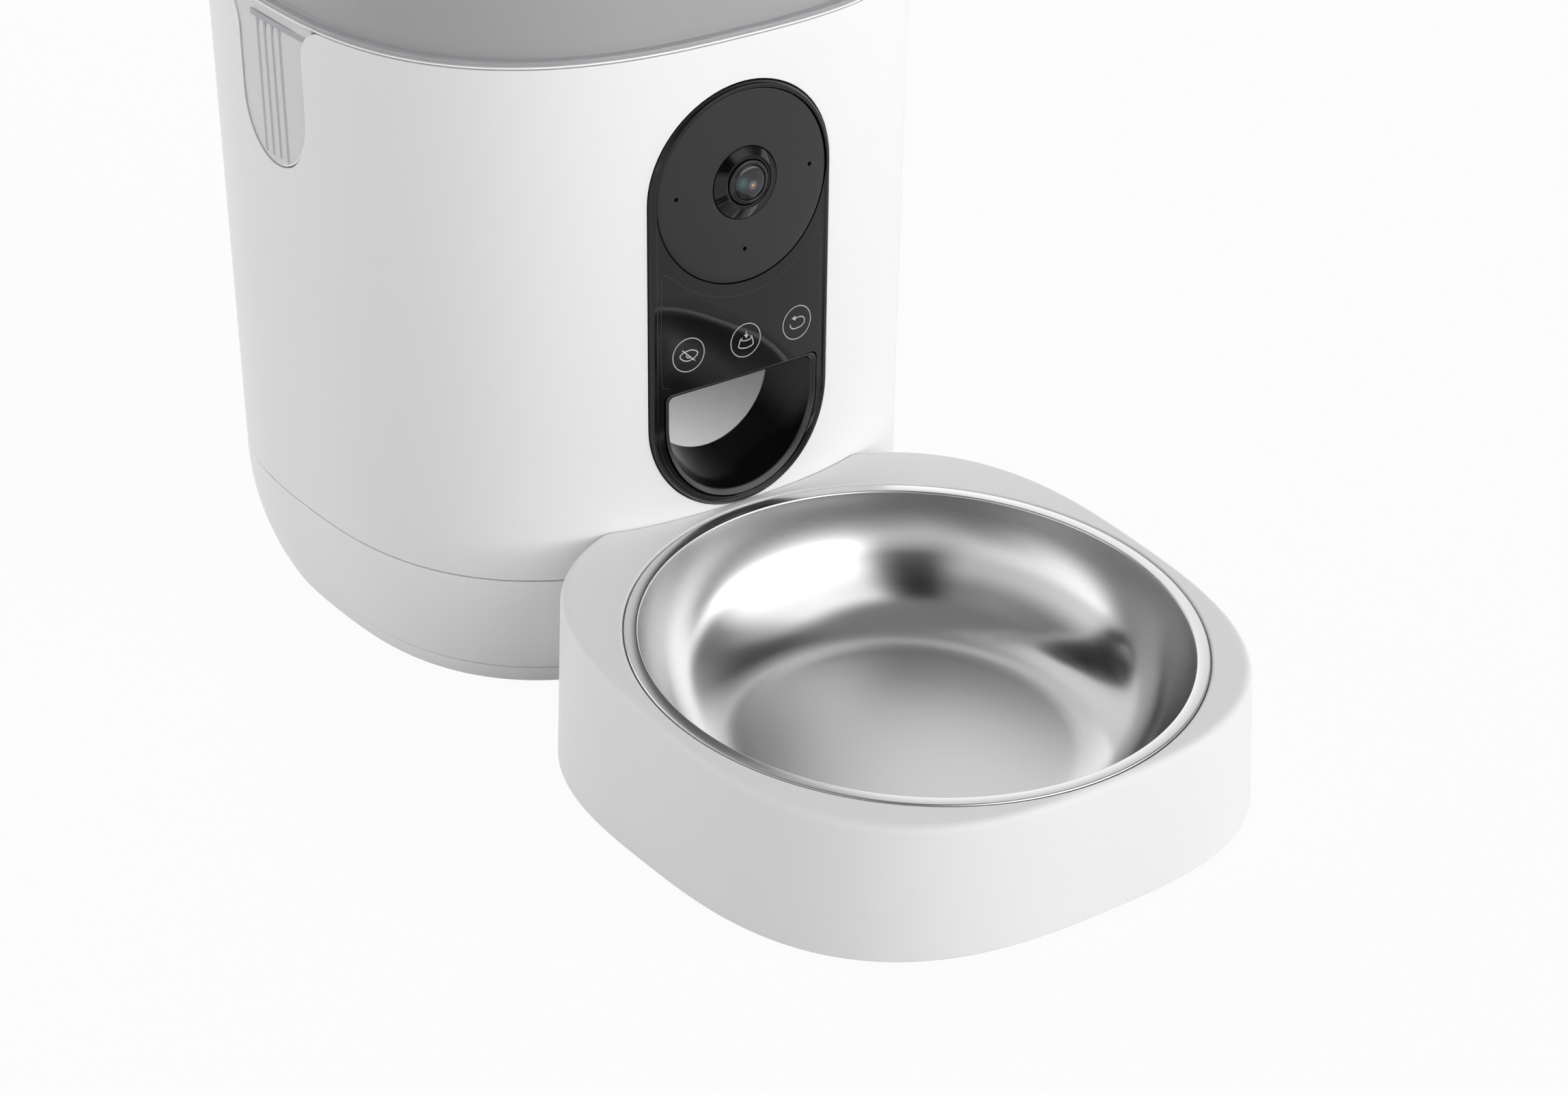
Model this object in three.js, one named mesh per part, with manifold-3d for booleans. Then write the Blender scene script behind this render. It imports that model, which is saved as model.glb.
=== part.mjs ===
// Camera pet feeder: a tower with a food tank, a portion wheel and a camera, and a tray with a steel bowl.
// Millimetres, +Z up, the front faces -Y. The origin is on the floor under the middle of the whole object.
// Inside the tower group, X = Y = 0 is the tower's own axis.
import * as THREE from "three";
import { mergeVertices } from "three/addons/utils/BufferGeometryUtils.js";
import Module from "manifold-3d";

// Fits
const seatGap = 0.3; // between two pieces that touch
const runningGap = 0.4; // round a piece that turns
const overrun = 3; // how far a cutting shape runs past the face that it cuts
const weld = 0.0005; // vertices closer than this are one vertex

// Counts of faces
const bodySteps = 44; // round the tower and the tray
const roundSteps = 16; // round a wheel or a lens
const smallSteps = 10; // round a foot, a pin or a screw
const arcSteps = 6; // along one arc of an outline

// Tower
const towerHalfWidth = 85; // at the seam line
const towerHalfDepth = 84.5;
const towerPower = 2.66; // exponent of the rounded-square section
const draftShare = 0.0139; // the walls lean out by this share of their height
const wall = 2.8;
const footProud = 1; // the rubber feet stand out of the underside by this
const footRingHeight = 5.9;
const footRingInset = 5.6; // the lower seam line lies in from the upper one by this
const underInset = 2.8; // the underside lies in from the lower seam line by this
const footRingHalfWidth = towerHalfWidth - footRingInset;
const baseHalfWidth = footRingHalfWidth - underInset;
const seamHeight = 36.4;
const housingTop = 179.6;
const baseCurvePower = 2.2; // exponent of the base's curve towards the floor
const baseCurveSteps = 5;
const baseInnerSteps = 2;
const lipHeight = 4; // the base's ring inside the upper housing
const lipWall = 1.6;
const lipRoot = 5;

// Base plate, feet and screws
const plateFloor = 2.6;
const plateRim = 3;
const footRadius = 9.5;
const footSideInset = 35; // from the seam line
const footEndInset = 33.5;
const footX = towerHalfWidth - footSideInset;
const footY = towerHalfDepth - footEndInset;
const screwSideInset = 19; // from the seam line
const screwEndInset = 56.5;
const screwX = towerHalfWidth - screwSideInset;
const screwY = towerHalfDepth - screwEndInset;
const bossRadius = 4.5;
const bossTop = 22;
const bossRib = 3;
const screwHeadRadius = 3.4;
const screwHead = 1.5;
const screwRadius = 1.5;
const screwLength = 11;
const recessDepth = 1;

// Battery bay in the base
const baySideInset = 33; // from the seam line
const bayEndInset = 50.5;
const bayHalfWidth = towerHalfWidth - baySideInset;
const bayHalfLength = towerHalfDepth - bayEndInset;
const bayWall = 1.8;
const bayTop = 40;
const doorSideInset = 4.3; // from the bay's walls
const doorEndInset = 0.6;
const doorHalfWidth = bayHalfWidth - doorSideInset;
const doorHalfLength = bayHalfLength - doorEndInset;
const doorFlange = 3; // width of the tongue that runs on each side rail
const doorFlangeHeight = 0.7;
const doorTravel = 6;
const railHeight = 1.3;
const contactWall = 0.8;
const contactInset = 3; // from the bay's walls
const contactHalfWidth = bayHalfWidth - contactInset;
const contactLow = 6;
const contactHigh = 34;
const contactBumpRadius = 4;
const contactBump = 1.6;
const cellCount = 3;
const cellPitch = (2 * bayHalfWidth) / cellCount;

// Main board, inlet and speaker
const boardWall = 1.6;
const mainBoardWidth = 76;
const mainBoardDepth = 30;
const mainBoardInset = 28.5; // its middle, from the seam line at the back
const mainBoardY = towerHalfDepth - mainBoardInset;
const standoffHeight = 4.1;
const standoffRadius = 2.4;
const chipHeight = 2.4;
const chipSize = 12;
const inletZ = 20;
const inletHalfHeight = 2.9;
const inletHalfSpan = 3.2; // between the centres of the inlet's round ends
const inletDepth = 8;
const inletRecess = 1;
const slotHalfHeight = 1.6;
const slotHalfSpan = 2.9;
const slotDepth = 6;
const speakerZ = 68;
const speakerRadius = 15;
const speakerDepth = 9;
const speakerRim = 2;
const speakerMagnetRadius = 8;
const speakerCone = 3;
const grilleRadius = 12;
const grilleSlot = 2;
const grillePitch = 4.6;
const grilleSide = 2; // slots on each side of the middle one

// Front panel, camera and touch keys
const panelHalfWidth = 28.3;
const panelLowShare = 0.28492; // of the housing's height, from its seam to the lower round end's centre
const cameraShare = 0.72067; // and to the middle of the camera disc and of the upper round end
const panelLowCentre = seamHeight + panelLowShare * (housingTop - seamHeight);
const cameraZ = seamHeight + cameraShare * (housingTop - seamHeight);
const panelProud = 0.8;
const panelLip = 0.4; // the lip stands out of the panel's face by this
const panelLipWidth = 0.9;
const panelDepth = 2.4;
const discRadius = 26.3;
const discDepth = 1.6;
const pinholeRadius = 0.6;
const pinholeReach = 20.8; // beside the lens
const lowPinholeReach = 18.4; // below the lens
const lensRise = 1.1; // the lens is above the disc's middle by this
const lensZ = cameraZ + lensRise;
const coneRadius = 9.6;
const coneTopRadius = 7.1;
const coneThroat = 6.3;
const coneRise = 1.8; // the cone stands out of the disc's face by this
const coneDepth = 6;
const barrelProud = 2.4;
const barrelDepth = 9;
const barrelFrontRadius = 5;
const lensRadius = 4.4;
const lensSeatDepth = 1.2;
const lensDome = 1.1;
const cameraBoardWidth = 40;
const cameraBoardHeight = 30;
const touchBoardWidth = 46;
const touchBoardHeight = 22;
const touchBoardGap = 1.8; // above the outlet

// Outlet and chute
const outletRadius = 24.5;
const outletDrop = 1.4; // the centre of the outlet's round lower half, below the panel's
const outletRise = 10.7; // from that centre to the outlet's straight top
const outletZ = panelLowCentre - outletDrop;
const outletTop = outletZ + outletRise;
const outletCorner = 2;
const tunnelWall = 1.2;
const tunnelProud = 0.2; // the tunnel's rim stands out of the panel's face by this
const tunnelLength = 15.9; // back from the seam line's front
const tunnelBack = towerHalfDepth - tunnelLength;
const tunnelTaperShare = 0.85;
const tunnelRise = 2.8;
const tunnelHeadroom = 0.35; // the tunnel's top is lower than the panel's edge by this, so it can rise
const chuteWall = 2;
const chuteClearance = 3.1; // between the chute's underside and the gear case's front edge
const chuteBack = 15; // distance from the tower's axis

// Middle frame
const frameLow = 93.4;
const frameWall = 3;
const frameNotchHalfWidth = 31;
const frameNotchDepth = 13;
const dropWindowHalfWidth = 18.6;
const dropWindowFront = 43.5;
const shaftWindow = 9.6;
const postRadius = 3.5;
const postInset = 6.6; // from the gear case's edge
const postY = 8;
const bracketWidth = 14;
const bracketDepth = 4;
const bracketHeight = 6;

// Gear drive
const moduleShare = 3 / 169; // of the tower's half-depth, so that the drive fits behind the axis
const gearModule = towerHalfDepth * moduleShare;
const wheelTeeth = 28;
const pinionTeeth = 10;
const pressureAngleDeg = 25;
const addendumShare = 0.8;
const dedendumShare = 1.05;
const backlash = 0.2; // each gear's teeth are thinner by this
const caseLow = 57;
const caseWall = 2;
const caseSplit = 69;
const caseTop = 81;
const caseEndRoom = 0.9; // between the pinion's teeth and the case's back end
const gearWidth = 6.5;
const lowerGearZ = 60.3;
const upperGearZ = 70.5;
const driveShaftRadius = 5;
const idlerHubRadius = 4.2;
const idlerPinRadius = 2;
const motorShaftRadius = 1.6;
const motorShaftLength = 9;
const motorRadius = 12.3;
const motorLength = 35.5;
const motorBossRadius = 4;
const motorBossHeight = 1.2;
const dogSide = 9;
const dogLow = 90;
const dogTop = 110;

// Portion wheel
const rotorRadius = 47;
const rotorWall = 2.4;
const rotorFloor = 2.7;
const rotorTop = 128.1;
const dropInner = 17;
const dropOuter = 43;
const dropHalfDeg = 25;
const vaneCount = 6;
const vaneWall = 2.2;
const vaneTop = 125;
const vaneTipGap = 0.9;
const hubRadius = 11.5;
const socketDepth = 12.5;
const shieldLow = 125.8;
const shieldWall = 1.8;
const shieldRing = 3.2;
const shieldInner = 13;
const shieldHalfDeg = 38;
const stirrerCapRadius = 8;
const stirrerTop = 131.5;
const stirrerArmRadius = 1.8;
const stirrerReach = 26;
const stirrerArmLow = 129.8;
const stirrerArmHigh = 146;

// Food tank
const tankWall = 2.4;
const neckTop = 131;
const collarDepth = 7.4; // below the housing's top
const collarLow = housingTop - collarDepth;
const collarInset = 1; // from the housing's inner face
const flangeWall = 1.7;
const flangeLedge = 2.6;
const tankHeight = 103.4; // from the flange up
const flangeLow = housingTop + seatGap;
const flangeTop = flangeLow + flangeWall;
const tankTop = flangeTop + tankHeight;

// Press tabs
const notchY = 2.2;
const notchHalfWidth = 16.4;
const notchDepth = 43.3; // below the housing's top
const notchLow = housingTop - notchDepth;
const notchFlare = 9.6;
const notchFlareDeg = 90;
const tabFlareDeg = 115; // the tab's corners end before they run out to an edge
const tabGap = 0.5;
const tabInset = 0.4;
const tabWall = 1.8;
const tabRibCount = 4;
const tabRibPitch = 5.6;
const tabRibWall = 1.2;
const tabRibDepth = 2.6;
const tabRibRise = 6.7; // from the notch's lowest point to the ribs
const tabRibDrop = 10.6; // from the housing's top to the ribs
const tabRibLow = notchLow + tabRibRise;
const tabRibHigh = housingTop - tabRibDrop;

// Lid, seal and desiccant holder
const lidOverhang = 1.77; // past the tank's wall
const lidHeight = 20.4;
const lidEdgeRadius = 8;
const lidEdgeSteps = 3;
const lidCrown = 0.7;
const lidWall = 3;
const plugGap = 2.13; // between the plug and the tank's wall, filled by the seal
const plugWall = 1.6;
const plugDepth = 10.3;
const sealInset = 1.6; // below the tank's top edge
const sealTop = tankTop - sealInset;
const sealHeight = 5.4;
const holderRadius = 30;
const holderDepth = 14;
const holderWall = 1.6;
const holderSlot = 3;
const holderSlotInner = 8;
const holderSlotOuter = 25;
const holderSlots = 8;
const holderCollarWall = 1.8;
const holderCollarDepth = 6.5;
const packHeight = 9.5;
const packEdge = 3;

// Tray and bowl
const trayTopHalfWidth = 78.6;
const trayFlare = 1.6; // the underside's half-width is larger by this
const trayHalfWidth = trayTopHalfWidth + trayFlare;
const trayDepthShare = 1.04; // depth over width
const trayBite = 11.808; // the tower's front cuts this much off the tray's back
const trayCentre = towerHalfDepth + trayHalfWidth * trayDepthShare - trayBite;
const trayPower = 2.8;
const trayTop = 43.3; // over the tray's middle
const leanDeg = 4.41; // the top leans down towards the front
const leanFade = 8; // depth below the top in which the lean stays whole
const trayWall = 2.6;
const trayPlate = 2.8;
const trayEdgeRadius = 2;
const trayFloorWidth = 22.2; // from the tray's edge to the opening in its floor
const trayTowerGap = 0.4;
const tongueHalfWidth = 25;
const tongueLow = 12;
const tongueWall = 4;
const tongueReach = 9;
const tongueGap = 0.4;
const trayFootRadius = 6;
const trayFootSideInset = 26.2; // from the tray's half-width
const trayFootFrontInset = 28.2;
const trayFootBackInset = 30.2;
const trayFootX = trayHalfWidth - trayFootSideInset;
const trayFootFront = trayHalfWidth - trayFootFrontInset;
const trayFootBack = trayHalfWidth - trayFootBackInset;
const bowlForward = 5.6; // the bowl's axis, forwards of the tray's middle
const bowlCentre = trayCentre + bowlForward;
const rimInset = 4.3; // from the tray's top edge
const rimRadius = trayTopHalfWidth - rimInset;
const rimWidth = 2.3;
const rimWall = 1.2;
const bowlWall = 0.8;
const bowlDepth = 33;
const bowlTurnWidth = 32.3; // from the rim in to the flat bottom
const bowlFlatRadius = rimRadius - bowlTurnWidth;
const bowlSteepShare = 0.6; // how far down the wall keeps its slope
const bowlTurnShare = 0.5; // how far out the bottom's turn begins
const bowlSteps = 6;
const ledge = 1.3; // width of the tray's ledge under the rim

// Colours
const white = new THREE.MeshStandardMaterial({ color: 0xf2f2f2, roughness: 0.5 });
const paleGrey = new THREE.MeshStandardMaterial({ color: 0xb4b4b4, roughness: 0.5 });
const glossBlack = new THREE.MeshStandardMaterial({ color: 0x0c0c0d, roughness: 0.08 });
const satinBlack = new THREE.MeshStandardMaterial({ color: 0x2a2a2b, roughness: 0.4 });
const rubber = new THREE.MeshStandardMaterial({ color: 0x6d6e70, roughness: 0.8 });
const clear = new THREE.MeshStandardMaterial({
  color: 0xb9bcc2,
  roughness: 0.1,
  opacity: 0.4,
  transparent: true,
});
const steel = new THREE.MeshStandardMaterial({ color: 0xc8c8c8, roughness: 0.15, metalness: 1 });
const zinc = new THREE.MeshStandardMaterial({ color: 0xa4a7aa, roughness: 0.35, metalness: 1 });
const nylon = new THREE.MeshStandardMaterial({ color: 0xe6e3da, roughness: 0.55 });
const board = new THREE.MeshStandardMaterial({ color: 0x1d5a38, roughness: 0.5 });
const silicone = new THREE.MeshStandardMaterial({ color: 0x8f959c, roughness: 0.7 });
const lensCoat = new THREE.MeshStandardMaterial({ color: 0x18343c, roughness: 0.03 });
const paper = new THREE.MeshStandardMaterial({ color: 0xe9e7e0, roughness: 0.9 });

const wasm = await Module();
wasm.setup();

const halfTurn = Math.PI;
const quarterTurn = Math.PI / 2;
const radians = (degrees) => THREE.MathUtils.degToRad(degrees);

// Closed geometry: one vertex at each place, no face without area, faces pointing out
function closed(geometry) {
  const bare = geometry.clone();
  bare.deleteAttribute("normal");
  bare.deleteAttribute("uv");
  const merged = mergeVertices(bare, weld);
  const corners = merged.index.array;
  const places = merged.attributes.position;
  const [a, b, c] = [new THREE.Vector3(), new THREE.Vector3(), new THREE.Vector3()];
  const faces = [];
  let volume = 0;
  for (let i = 0; i < corners.length; i += 3) {
    const face = [corners[i], corners[i + 1], corners[i + 2]];
    if (new Set(face).size < 3) continue;
    [a, b, c].forEach((corner, k) => corner.fromBufferAttribute(places, face[k]));
    volume += a.dot(b.cross(c));
    faces.push(face);
  }
  if (volume < 0) faces.forEach((face) => face.reverse());
  return merged.setIndex(faces.flat());
}

function solidOf(geometry) {
  const triVerts = new Uint32Array(geometry.index.array);
  const vertProperties = new Float32Array(geometry.attributes.position.array);
  return new wasm.Manifold(new wasm.Mesh({ numProp: 3, vertProperties, triVerts }));
}

function geometryOf(solid) {
  const mesh = solid.getMesh();
  const geometry = new THREE.BufferGeometry();
  geometry.setAttribute("position", new THREE.BufferAttribute(mesh.vertProperties, 3));
  geometry.setIndex(new THREE.BufferAttribute(mesh.triVerts, 1));
  geometry.computeVertexNormals();
  return geometry;
}

const cut = (blank, ...tools) =>
  geometryOf(tools.reduce((left, tool) => left.subtract(solidOf(tool)), solidOf(blank)));
const join = (first, ...others) =>
  geometryOf(others.reduce((whole, other) => whole.add(solidOf(other)), solidOf(first)));
const common = (first, second) => geometryOf(solidOf(first).intersect(solidOf(second)));

// Every vertex of a geometry moved by a rule
function reshape(geometry, rule) {
  const places = geometry.attributes.position;
  const place = new THREE.Vector3();
  for (let i = 0; i < places.count; i++) {
    rule(place.fromBufferAttribute(places, i));
    places.setXYZ(i, place.x, place.y, place.z);
  }
  return geometry;
}

// A profile of [radius, height] points turned about +Z; a profile that misses the axis closes on itself
function turned(profile, steps = roundSteps) {
  const points = profile.map(([radius, height]) => new THREE.Vector2(radius, height));
  if (profile[0][0] > 0) points.push(points[0].clone());
  return closed(new THREE.LatheGeometry(points, steps).rotateX(quarterTurn));
}

// The same, pushed out from a circle to a rounded square; section gives its power and depth at a height
const towerDepthShare = towerHalfDepth / towerHalfWidth;
const towerSection = () => ({ power: towerPower, depthShare: towerDepthShare });

function roundedSquare(profile, section = towerSection, steps = bodySteps) {
  return reshape(turned(profile, steps), (place) => {
    const { power, depthShare } = section(place.z);
    const reach = Math.hypot(place.x, place.y);
    if (reach === 0) return;
    const across = Math.abs(place.x / reach) ** power + Math.abs(place.y / reach) ** power;
    const push = across ** (-1 / power);
    place.set(place.x * push, place.y * push * depthShare, place.z);
  });
}

// An outline drawn in X and Y, from one height to another
function slab(outline, low, high) {
  const options = { depth: high - low, bevelEnabled: false, curveSegments: arcSteps };
  return closed(new THREE.ExtrudeGeometry(outline, options).translate(0, 0, low));
}

// An outline drawn in X and Z, from front to back
function prismY(outline, front, back) {
  return slab(outline, -back, -front).rotateX(quarterTurn);
}

// An outline drawn in Y and Z, from left to right
function prismX(outline, left, right) {
  const turn = new THREE.Matrix4().makeBasis(
    new THREE.Vector3(0, 1, 0),
    new THREE.Vector3(0, 0, 1),
    new THREE.Vector3(1, 0, 0),
  );
  return slab(outline, left, right).applyMatrix4(turn);
}

const rod = (radius, low, high, steps = smallSteps) =>
  turned([[0, low], [radius, low], [radius, high], [0, high]], steps);

function block(left, right, front, back, low, high) {
  const box = new THREE.BoxGeometry(right - left, back - front, high - low);
  return closed(box.translate((left + right) / 2, (front + back) / 2, (low + high) / 2));
}

// A profile of [radius, depth] points turned about the camera's axis, depth counted back from the front
function turnedBack(profile, steps = roundSteps) {
  return turned(profile, steps).rotateX(-quarterTurn);
}

// Outline with two round ends, one above the other
function roundEnded(halfWidth, lowCentre, highCentre) {
  const outline = new THREE.Shape();
  outline.absarc(0, lowCentre, halfWidth, halfTurn, 2 * halfTurn);
  outline.absarc(0, highCentre, halfWidth, 0, halfTurn);
  outline.closePath();
  return outline;
}

// Part of a ring, centred on the front
function sector(inner, outer, halfDeg) {
  const start = -quarterTurn - radians(halfDeg);
  const end = -quarterTurn + radians(halfDeg);
  const outline = new THREE.Shape();
  outline.absarc(0, 0, outer, start, end, false);
  outline.absarc(0, 0, inner, end, start, true);
  outline.closePath();
  return outline;
}

// Heights and faces of the tower that other pieces follow
const footSeam = footProud + footRingHeight;
const halfWidthAt = (z) => towerHalfWidth + draftShare * (z - seamHeight);

function baseReach(z) {
  const share = (z - footSeam) / (seamHeight - footSeam);
  return footRingHalfWidth + (towerHalfWidth - footRingHalfWidth) * (1 - (1 - share) ** baseCurvePower);
}

// Distance of the tower's face in front of its axis, at a sideways place and height, moved out by a length
function faceAt(x, z, out) {
  const reach = halfWidthAt(z) + out;
  const share = 1 - (Math.abs(x) / reach) ** towerPower;
  return towerDepthShare * reach * share ** (1 / towerPower);
}

// Half-width of the tank's wall above its flange, at a height
const tankReachAt = (z) => halfWidthAt(housingTop) - flangeLedge + draftShare * (z - flangeTop);
const lidHalfWidth = tankReachAt(tankTop) + lidOverhang;
const tankInner = tankReachAt(sealTop - sealHeight) - tankWall;
const plugReach = tankInner - plugGap;

function towerBlank(out, low, high) {
  const lowReach = halfWidthAt(low) + out;
  const highReach = halfWidthAt(high) + out;
  return roundedSquare([[0, low], [lowReach, low], [highReach, high], [0, high]]);
}

const towerSkin = (out, thickness, low, high) =>
  cut(towerBlank(out, low, high), towerBlank(out - thickness, low - overrun, high + overrun));

const feeder = new THREE.Group();
const tower = new THREE.Group();
feeder.add(tower);

function part(name, geometry, finish, x = 0, y = 0, z = 0, holder = tower) {
  const mesh = new THREE.Mesh(geometry, finish);
  mesh.name = name;
  mesh.position.set(x, y, z);
  holder.add(mesh);
  return mesh;
}

const corners = [
  ["front_left", -1, -1],
  ["front_right", 1, -1],
  ["rear_left", -1, 1],
  ["rear_right", 1, 1],
];

// Front panel's outline, outlet and side notch
const panelOutline = (grow) => roundEnded(panelHalfWidth + grow, panelLowCentre, cameraZ);

function outletOutline(inset, topInset = inset) {
  const radius = outletRadius - inset;
  const top = outletTop - topInset;
  const outline = new THREE.Shape();
  outline.absarc(0, outletZ, radius, halfTurn, 2 * halfTurn);
  outline.absarc(radius - outletCorner, top - outletCorner, outletCorner, 0, quarterTurn);
  outline.absarc(outletCorner - radius, top - outletCorner, outletCorner, quarterTurn, halfTurn);
  outline.closePath();
  return outline;
}

function notchOutline(inset, flareDeg) {
  const half = notchHalfWidth - inset;
  const flare = notchFlare + inset;
  const centre = notchLow + notchHalfWidth;
  const flareZ = housingTop - notchFlare - inset;
  const end = radians(flareDeg);
  const reach = half + flare + flare * Math.cos(end);
  const top = housingTop + overrun;
  const outline = new THREE.Shape();
  outline.absarc(notchY, centre, half, halfTurn, 2 * halfTurn);
  outline.absarc(notchY + half + flare, flareZ, flare, halfTurn, end, true);
  outline.lineTo(notchY + reach, top);
  outline.lineTo(notchY - reach, top);
  outline.absarc(notchY - half - flare, flareZ, flare, halfTurn - end, 0, true);
  outline.closePath();
  return outline;
}

// Upper housing, with the panel's opening, the side notches, the speaker's slots and the frame's brackets
function upperHousing() {
  const low = seamHeight + seatGap / 2;
  const lowReach = halfWidthAt(low);
  const topReach = halfWidthAt(housingTop);
  const shell = roundedSquare([
    [lowReach - wall, low],
    [lowReach, low],
    [topReach, housingTop],
    [topReach - wall, housingTop],
  ]);
  const bracketTop = frameLow - seatGap;
  const bracketLow = bracketTop - bracketHeight;
  const inner = halfWidthAt(bracketLow) - wall;
  const innerBack = inner * towerDepthShare;
  const half = bracketWidth / 2;
  const bite = wall / 2;
  const brackets = [
    block(-inner - bite, bracketDepth - inner, -half, half, bracketLow, bracketTop),
    block(inner - bracketDepth, inner + bite, -half, half, bracketLow, bracketTop),
    block(-half, half, innerBack - bracketDepth, innerBack + bite, bracketLow, bracketTop),
  ];
  const front = faceAt(0, housingTop, overrun);
  const panelHole = prismY(panelOutline(seatGap), -front, -front / 2);
  const reach = topReach + overrun;
  const notch = notchOutline(0, notchFlareDeg);
  const slots = [];
  for (let i = -grilleSide; i <= grilleSide; i++) {
    const x = i * grillePitch;
    const rise = Math.sqrt(grilleRadius ** 2 - x ** 2);
    const slot = grilleSlot / 2;
    slots.push(block(x - slot, x + slot, front / 2, front, speakerZ - rise, speakerZ + rise));
  }
  const notches = [prismX(notch, -reach, -reach / 2), prismX(notch, reach / 2, reach)];
  return cut(join(shell, ...brackets), panelHole, ...notches, ...slots);
}

// Base housing: a lip inside the upper housing, four screw bosses, the inlet's hole and the tray's slot
function baseHousing() {
  const low = footSeam + seatGap / 2;
  const top = seamHeight - seatGap / 2;
  const curve = (end, steps) =>
    Array.from({ length: steps + 1 }, (_, i) => low + ((end - low) * i) / steps);
  const outer = curve(top, baseCurveSteps).map((z) => [baseReach(z), z]);
  const inner = curve(top - lipRoot, baseInnerSteps).map((z) => [baseReach(z) - wall, z]);
  const lipOuter = halfWidthAt(seamHeight) - wall - seatGap;
  const lip = [
    [lipOuter, top],
    [lipOuter, seamHeight + lipHeight],
    [lipOuter - lipWall, seamHeight + lipHeight],
    [lipOuter - lipWall, top - lipWall],
  ];
  const ring = roundedSquare([...outer, ...lip, ...inner.toReversed()]);
  const blank = roundedSquare([
    [0, low],
    ...outer.map(([reach, z]) => [reach - wall / 2, z]),
    [0, top],
  ]);
  const bosses = corners.map(([, sideX, sideY]) => {
    const x = sideX * screwX;
    const y = sideY * screwY;
    const post = rod(bossRadius, low, bossTop).translate(x, y, 0);
    const ribEnd = sideX * towerHalfWidth;
    const rib = bossRib / 2;
    const web = block(Math.min(x, ribEnd), Math.max(x, ribEnd), y - rib, y + rib, low, bossTop);
    const hole = rod(screwRadius + seatGap, low - overrun, bossTop - bossRib).translate(x, y, 0);
    return cut(common(join(post, web), blank), hole);
  });
  const reach = towerHalfDepth + overrun;
  const inlet = prismY(inletOutline(inletHalfHeight + seatGap, inletHalfSpan), reach / 2, reach);
  const slotHalf = tongueHalfWidth + tongueGap;
  const slotTop = tongueLow + tongueWall + tongueGap;
  const slot = block(-slotHalf, slotHalf, -reach, -reach / 2, tongueLow - tongueGap, slotTop);
  return cut(join(ring, ...bosses), inlet, slot);
}

// Outline of the inlet and of its slot: round ends side by side
function inletOutline(halfHeight, halfSpan) {
  const outline = new THREE.Shape();
  outline.absarc(halfSpan, inletZ, halfHeight, -quarterTurn, quarterTurn);
  outline.absarc(-halfSpan, inletZ, halfHeight, quarterTurn, quarterTurn + halfTurn);
  outline.closePath();
  return outline;
}

// Base plate: foot ring and floor, with the feet's recesses, the screws' holes and the battery opening
const plateTop = footProud + plateFloor;
const recessTop = footProud + recessDepth + seatGap;

function basePlate() {
  const rimTop = footSeam - seatGap / 2;
  const dish = roundedSquare([
    [0, footProud],
    [baseHalfWidth, footProud],
    [footRingHalfWidth, rimTop],
    [footRingHalfWidth - plateRim, rimTop],
    [footRingHalfWidth - plateRim, plateTop],
    [0, plateTop],
  ]);
  const standoffs = [];
  const cuts = [];
  for (const [, sideX, sideY] of corners) {
    const x = (sideX * mainBoardWidth) / 2 - sideX * standoffRadius;
    const y = mainBoardY + (sideY * mainBoardDepth) / 2 - sideY * standoffRadius;
    const standoff = rod(standoffRadius, plateTop - plateFloor / 2, plateTop + standoffHeight);
    standoffs.push(standoff.translate(x, y, 0));
    const recess = rod(footRadius + seatGap, footProud - overrun, recessTop, roundSteps);
    cuts.push(recess.translate(sideX * footX, sideY * footY, 0));
    const head = rod(screwHeadRadius + seatGap, footProud - overrun, footProud + screwHead);
    cuts.push(head.translate(sideX * screwX, sideY * screwY, 0));
    const hole = rod(screwRadius + seatGap, footProud - overrun, plateTop + overrun);
    cuts.push(hole.translate(sideX * screwX, sideY * screwY, 0));
  }
  const half = doorHalfWidth + seatGap;
  const front = -doorHalfLength - seatGap;
  const back = doorHalfLength + seatGap + doorTravel;
  cuts.push(block(-half, half, front, back, footProud - overrun, plateTop + overrun));
  const rail = half + doorFlange;
  cuts.push(block(-rail, rail, front, back, footProud + railHeight, plateTop + overrun));
  return cut(join(dish, ...standoffs), ...cuts);
}

function batteryDoor() {
  const cover = block(
    -doorHalfWidth,
    doorHalfWidth,
    -doorHalfLength,
    doorHalfLength,
    footProud,
    footProud + railHeight + seatGap + doorFlangeHeight,
  );
  const reach = doorHalfWidth + doorFlange;
  const flangeLow = footProud + railHeight + seatGap;
  const flange = block(
    -reach,
    reach,
    -doorHalfLength,
    doorHalfLength,
    flangeLow,
    flangeLow + doorFlangeHeight,
  );
  return join(cover, flange);
}

function batteryBox() {
  const low = plateTop + seatGap;
  const halfX = bayHalfWidth + bayWall;
  const halfY = bayHalfLength + bayWall;
  const outer = block(-halfX, halfX, -halfY, halfY, low, bayTop);
  const bay = block(
    -bayHalfWidth,
    bayHalfWidth,
    -bayHalfLength,
    bayHalfLength,
    low - overrun,
    bayTop - bayWall,
  );
  return cut(outer, bay);
}

// Contact plate with one bump for each cell
function batteryContact(side) {
  const face = side * (bayHalfLength - seatGap);
  const inner = face - side * contactWall;
  const plate = block(
    -contactHalfWidth,
    contactHalfWidth,
    Math.min(face, inner),
    Math.max(face, inner),
    contactLow,
    contactHigh,
  );
  const middle = (contactLow + contactHigh) / 2;
  const bumps = [-1, 0, 1].map((cell) => {
    const bump = rod(contactBumpRadius, -contactWall / 2, contactBump).rotateX(side * quarterTurn);
    return bump.translate(cell * cellPitch, inner, middle);
  });
  return join(plate, ...bumps);
}

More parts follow.
